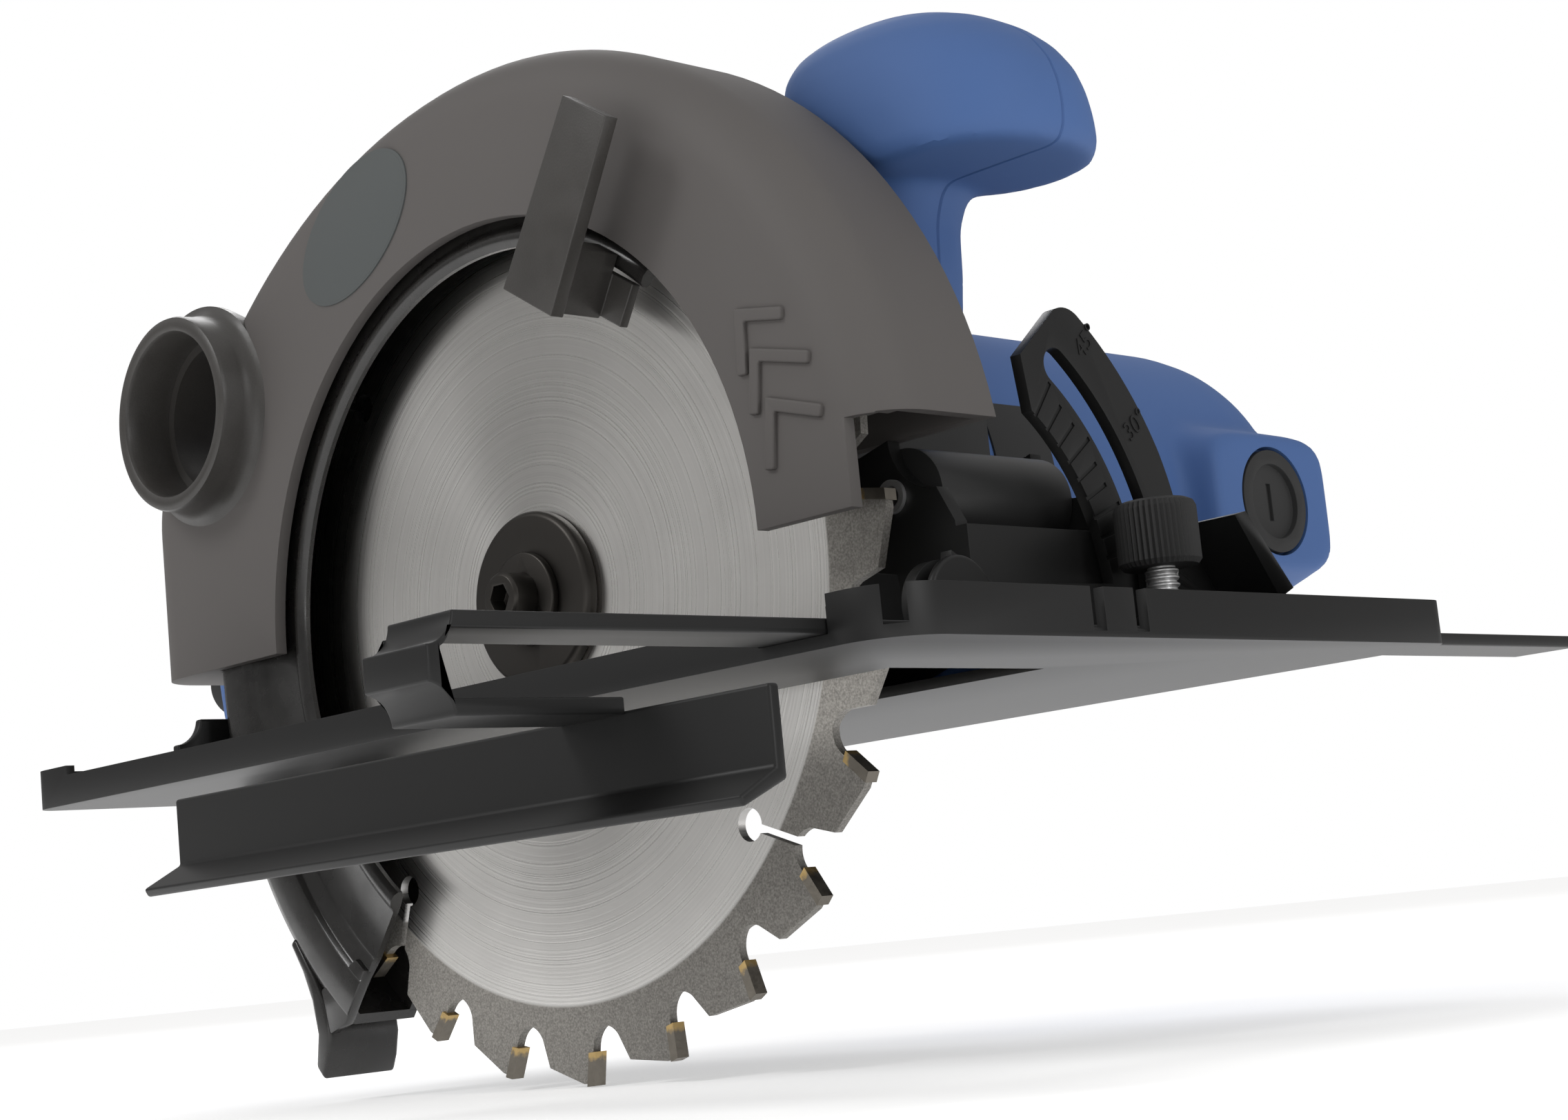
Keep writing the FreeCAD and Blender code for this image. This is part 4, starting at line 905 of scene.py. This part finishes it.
@dataclass
class HandleSet:
    """The blue handle in two shells: rear loop, bridge and front grip."""

    seam: float = 40.0
    half: float = 15.8
    gap: float = 0.45
    squareness: float = 2.8
    skin_step: float = 1.3
    skin_rounds: int = 5

    def tube(self, form: Form, path: Sequence[tuple[Point2, float]], closed: bool) -> None:
        """A rounded tube along a path in the seam's plane.

        Args:
            form: what it is added to.
            path: the points, each with the tube's half height there.
            closed: True if the path comes back to its start.
        """
        count = len(path)
        stations = []
        for index, (spot, half) in enumerate(path):
            before = Vector(path[index - 1 if closed or index else 0][0])
            after = Vector(path[(index + 1) % count if closed else min(count - 1, index + 1)][0])
            way = (after - before).normalized()
            stations.append(Station((spot[0], self.seam, spot[1]), (-way.y, 0, way.x), (0, 1, 0), half,
                                    self.half,
                                    self.squareness))
        form.loft(stations, closed=closed, segments=32)

    def stack(self, form: Form, rows: Sequence[tuple[float, float, float, float]], squareness: float,
              segments: int) -> None:
        """Level sections joined one over another.

        Args:
            form: what they are added to.
            rows: level, rear end, front end and half width of each section.
            squareness: 2 for an oval, more for a squarer section.
            segments: points round each section.
        """
        form.loft([Station(((rear + front) / 2, self.seam, level), (1, 0, 0), (0, 1, 0), (front - rear) / 2,
                           wide,
                           squareness) for level, rear, front, wide in rows], segments=segments)

    def loop(self, form: Form) -> None:
        """The rear D-shaped grip."""
        self.tube(form, [((-32, 84), 13.6), ((-58, 84.4), 13.4), ((-89, 73), 12.9), ((-113, 61), 12.8),
                         ((-134, 45), 13.6), ((-147, 24), 15.0), ((-145, 2), 15.4), ((-124, -1.2), 12.4),
                         ((-92, -1.2), 12.2), ((-60, -1.2), 12.0), ((-43, 8), 8.0), ((-35, 30), 6.5),
                         ((-25, 54), 8.5)], True)

    def bridge(self, form: Form) -> None:
        """The web over the gearcase, from the loop to the front grip."""
        self.tube(form, [((-30, 84), 13.5), ((-6, 79), 13.5), ((12, 71.5), 12.8), ((34, 69), 12.5),
                         ((60, 74), 11.5)], False)

    def front_grip(self, form: Form) -> None:
        """The mushroom grip: a domed cap with a ridge round its lower edge, on a neck."""
        self.stack(form, [(66.9, 74.0, 103.6, 19.8), (67.6, 69.0, 105.6, 21.3), (70.0, 64.0, 106.9, 21.9),
                          (74.0, 58.0, 107.2, 22.0), (78.5, 52.0, 106.7, 21.9), (83.0, 48.0, 105.2, 21.4),
                          (87.5, 46.0, 102.0, 20.3), (91.5, 46.0, 97.4, 18.4), (94.8, 48.0, 91.8, 15.6),
                          (97.2, 52.0, 85.6, 12.0), (98.8, 57.0, 79.0, 7.6), (99.3, 62.0, 73.0, 3.6)], 2.35, 56)
        self.stack(form, [(36.5, 58.0, 66.5, 11.0), (44.0, 52.0, 72.6, 12.3), (52.0, 46.0, 74.2, 12.5),
                          (60.0, 44.0, 74.8, 12.5), (65.0, 44.0, 76.6, 13.2), (68.5, 44.0, 80.0, 14.6)], 3.0, 40)

    def build(self) -> None:
        """Makes both shells and the controls."""
        form = Form()
        self.loop(form)
        self.bridge(form)
        self.front_grip(form)
        whole = bpy.data.objects.new("handle_whole", form.mesh("handle_whole"))
        bpy.context.scene.collection.objects.link(whole)
        fused(whole, self.skin_step, self.skin_rounds)
        for name, keep_low in (("right", True), ("left", False)):
            piece = halved(whole, "handle_shell_%s_skin" % name, self.seam, keep_low, self.gap)
            SHOP.place(piece, "saw_body", BLUE, ["handle_shell_%s" % name], sharp=30.0)
        bpy.data.objects.remove(whole)
        for node, finish, edge in (("trigger", BLACK, 0.9), ("lock_off_button", BLACK, 0.8),
                                   ("cable_bush", RUBBER, 0.8), ("depth_lock_lever", BLACK, 0.9)):
            SHOP.eased(node, finish, edge, 3)
        for node, finish in (("power_switch", BLACK), ("trigger_pin", BRIGHT), ("depth_bolt", BRIGHT)):
            SHOP.dress(node, finish)


# ---- shoe ----------------------------------------------------------------------------------

@dataclass
class ShoeSet:
    """The pressed shoe, its brackets, the bevel quadrant and their fastenings."""

    mark_size: float = 5.0
    mark_high: float = 0.35
    mark_sunk: float = 0.2
    marks: tuple[tuple[str, Point2, float], ...] = (("45°", (43.2, 30.9), 43.0), ("30°", (54.7, 16.4), 36.0))

    def numerals(self) -> None:
        """Raised degree numbers on the quadrant's scale."""
        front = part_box("bevel_quadrant")[1].x - self.mark_sunk * MM
        made = []
        for words, spot, lean in self.marks:
            curve = bpy.data.curves.new("scale_mark", "FONT")
            curve.body = words
            curve.size = self.mark_size * MM
            curve.extrude = self.mark_high * MM
            curve.align_x, curve.align_y = "CENTER", "CENTER"
            text = bpy.data.objects.new("scale_mark", curve)
            bpy.context.scene.collection.objects.link(text)
            bpy.context.view_layer.update()
            evaluated = text.evaluated_get(bpy.context.evaluated_depsgraph_get())
            data = bpy.data.meshes.new_from_object(evaluated)
            stand = Matrix(((0, 0, 1, front), (1, 0, 0, spot[0] * MM), (0, 1, 0, spot[1] * MM), (0, 0, 0, 1)))
            data.transform(stand @ Matrix.Rotation(math.radians(lean), 4, "Z"))
            bpy.data.objects.remove(text)
            made.append(data)
        bm = bmesh.new()
        for data in made:
            bm.from_mesh(data)
        bmesh.ops.remove_doubles(bm, verts=bm.verts[:], dist=1e-6)
        bmesh.ops.recalc_face_normals(bm, faces=bm.faces[:])
        both = bpy.data.meshes.new("quadrant_numbers")
        bm.to_mesh(both)
        bm.free()
        SHOP.place(bpy.data.objects.new("quadrant_numbers", both), "shoe_body", LACQUER)

    def build(self) -> None:
        """Makes the shoe's pieces."""
        for node, edge, segments in (("base_shoe", 0.7, 3), ("bevel_quadrant", 0.5, 3),
                                     ("front_bracket", 0.5, 3),
                                     ("rear_bracket", 0.5, 2), ("rear_ear", 0.5, 2), ("front_rivet", 0.7, 3),
                                     ("rear_rivet", 0.5, 3), ("bevel_lock_lever", 0.4, 2)):
            SHOP.eased(node, LACQUER, edge, segments)
        for node in ("hinge_pin", "bevel_bolt"):
            SHOP.dress(node, BRIGHT)
        self.numerals()


@dataclass
class EdgeGuide:
    """The guide bar, its fence, the saddle and the knurled screw."""

    centre: Point2 = (113.0, 45.0)
    radius: float = 7.3
    ridges: int = 44
    groove: float = 0.945
    knob_ends: Point2 = (-11.5, 0.2)
    thread_turns: int = 9
    pitch: float = 1.25

    def knob(self) -> None:
        """A knurled cap on a plain threaded shank."""
        low, high = self.knob_ends
        rings = [(low, 0.90), (low + 0.9, 1.0), (high - 1.5, 1.0), (high - 0.5, 0.94), (high, 0.80)]
        form = Form()
        middle = Vector((*self.centre, 0.0))
        foot = {"segments": 2 * self.ridges, "radius": self.radius * rings[0][1], "cap_ends": True,
                "matrix": Matrix.Translation((*self.centre, low))}
        made = bmesh.ops.create_circle(form.bm, **foot)["verts"]
        face = list({f for v in made for f in v.link_faces})
        for level, grow in rings[1:]:
            top = bmesh.ops.extrude_face_region(form.bm, geom=face)["geom"]
            face = [g for g in top if isinstance(g, bmesh.types.BMFace)]
            ridged = grow > 0.93
            for vert in {v for f in face for v in f.verts}:
                out = vert.co - middle
                out.z = 0.0
                angle = math.atan2(out.y, out.x)
                column = round(angle / (math.pi / self.ridges))
                size = self.radius * grow * (self.groove if ridged and column % 2 else 1.0)
                vert.co = middle + Vector((math.cos(angle), math.sin(angle), 0)) * size + Vector((0, 0,
                                                                                                  level))
        bmesh.ops.inset_region(form.bm, faces=face, thickness=1.6, depth=0.0)
        bmesh.ops.create_circle(form.bm, **foot)
        bmesh.ops.remove_doubles(form.bm, verts=form.bm.verts[:], dist=1e-3)
        bmesh.ops.recalc_face_normals(form.bm, faces=form.bm.faces[:])
        SHOP.form("guide_knob", form, "screw_body", BLACK, ["guide_screw"], sharp=28.0)
        shank = Form()
        profile = [(0.0, -22.9), (2.4, -22.9)]
        for turn in range(self.thread_turns):
            level = -22.4 + self.pitch * turn
            profile += [(2.95, level), (2.95, level + 0.25), (2.45, level + 0.6), (2.45, level + 0.8)]
        profile += [(2.4, -11.0), (0.0, -11.0)]
        shank.lathe(profile, Axis.Z, self.centre, steps=40, ring=False)
        SHOP.form("guide_screw_shank", shank, "screw_body", BRIGHT)

    def build(self) -> None:
        """Makes the guide's pieces."""
        for node, edge, segments in (("guide_bar", 0.6, 3), ("guide_fence", 0.5, 3),
                                     ("guide_saddle", 0.4, 2)):
            SHOP.eased(node, LACQUER, edge, segments)
        self.knob()


# ---- studio --------------------------------------------------------------------------------

@dataclass
class Studio:
    """A pale floor, soft light and the camera."""

    eye: Point3 = (392.664, -329.570, -70.353)
    right: Point3 = (0.6968, 0.7107, -0.0965)
    forward: Point3 = (-0.6971, 0.7027, 0.1425)
    up: Point3 = (0.1691, -0.0320, 0.9851)
    lens: float = 61.50
    fill: Point2 = (0.10, 0.60)
    aim: Point3 = (0.0, 0.03, 0.03)
    lamps: tuple[tuple[str, Point3, Point2, float], ...] = (
        ("key", (-0.5, -1.3, 1.2), (0.5, 0.6), 8.0),
        ("side", (1.5, -0.1, 0.55), (0.2, 0.9), 4.5),
        ("rim", (-1.2, 0.9, 1.3), (0.5, 0.6), 6.0),
        ("under", (0.9, -1.1, -0.02), (0.9, 0.05), 0.9))
    floor_half: float = 9000.0
    floor_gap: float = 0.2
    floor_glow: float = 0.45

    def camera(self) -> None:
        """Stands the camera low in front of the blade side."""
        data = bpy.data.cameras.new("camera")
        data.lens = self.lens
        data.sensor_width = 36.0
        data.clip_start, data.clip_end = 0.02, 50.0
        camera = bpy.data.objects.new("camera", data)
        turn = Matrix((self.right, self.up, [-n for n in self.forward])).transposed()
        camera.matrix_world = Matrix.Translation(Vector(self.eye) * MM) @ turn.to_4x4()
        bpy.context.scene.collection.objects.link(camera)
        bpy.context.scene.camera = camera

    def light(self, name: str, spot: Point3, size: Point2, power: float) -> None:
        """A soft rectangular lamp aimed at the saw.

        Args:
            name: the lamp's name.
            spot: its place in metres.
            size: its width and height in metres.
            power: in watts.
        """
        data = bpy.data.lights.new(name, "AREA")
        data.shape = "RECTANGLE"
        data.size, data.size_y = size
        data.energy = power
        lamp = bpy.data.objects.new(name, data)
        lamp.location = spot
        lamp.rotation_mode = "QUATERNION"
        lamp.rotation_quaternion = (Vector(self.aim) - Vector(spot)).to_track_quat("-Z", "Y")
        bpy.context.scene.collection.objects.link(lamp)

    def floor(self) -> None:
        """A wide pale floor under the lowest tooth."""
        form = Form()
        level = CAD_LOW.z / MM - self.floor_gap
        bmesh.ops.create_grid(form.bm, x_segments=1, y_segments=1, size=self.floor_half,
                              matrix=Matrix.Translation((0, 0, level)))
        piece = bpy.data.objects.new("floor", form.mesh("floor"))
        desk = NodeDesk("floor_paper")
        soft = desk.noise(desk.place, 2.0, 2.0)
        desk.join(desk.blend(soft, (0.93, 0.93, 0.93), (0.97, 0.97, 0.97)), desk.shader.inputs["Base Color"])
        desk.shader.inputs["Roughness"].default_value = 0.9
        desk.shader.inputs["Emission Color"].default_value = (1.0, 1.0, 1.0, 1.0)
        desk.shader.inputs["Emission Strength"].default_value = self.floor_glow
        piece.data.materials.append(desk.material)
        bpy.context.scene.collection.objects.link(piece)

    def world(self) -> None:
        """A soft fill that brightens upwards, seen as plain white."""
        world = bpy.data.worlds.new("studio")
        world.use_nodes = True
        tree = world.node_tree
        soft = tree.nodes["Background"]
        soft.inputs["Color"].default_value = (1.0, 0.99, 0.98, 1.0)
        where, apart = tree.nodes.new("ShaderNodeTexCoord"), tree.nodes.new("ShaderNodeSeparateXYZ")
        sky = tree.nodes.new("ShaderNodeMapRange")
        for name, number in zip(("From Min", "From Max", "To Min", "To Max"), (-0.15, 0.8, *self.fill)):
            sky.inputs[name].default_value = number
        tree.links.new(where.outputs["Generated"], apart.inputs[0])
        tree.links.new(apart.outputs["Z"], sky.inputs["Value"])
        tree.links.new(sky.outputs["Result"], soft.inputs["Strength"])
        paper = tree.nodes.new("ShaderNodeBackground")
        paper.inputs["Color"].default_value = (1.0, 1.0, 1.0, 1.0)
        seen, choose = tree.nodes.new("ShaderNodeLightPath"), tree.nodes.new("ShaderNodeMixShader")
        tree.links.new(seen.outputs["Is Camera Ray"], choose.inputs[0])
        tree.links.new(soft.outputs[0], choose.inputs[1])
        tree.links.new(paper.outputs[0], choose.inputs[2])
        tree.links.new(choose.outputs[0], tree.nodes["World Output"].inputs["Surface"])
        bpy.context.scene.world = world

    def build(self) -> None:
        """Sets up the studio."""
        self.camera()
        self.floor()
        self.world()
        bpy.context.scene.view_settings.view_transform = "Standard"
        for lamp in self.lamps:
            self.light(*lamp)


def main() -> None:
    """Builds every sub-assembly in order."""
    logging.basicConfig(level=logging.INFO, format="%(message)s")
    Studio().build()
    for part in (BladeDrive(), UpperGuard(), LowerGuard(), MotorUnit(), HandleSet(), ShoeSet(), EdgeGuide()):
        LOG.info("-- %s", type(part).__name__)
        part.build()
    LOG.info("pieces %d", SHOP.count)


if __name__ == "__main__":
    main()
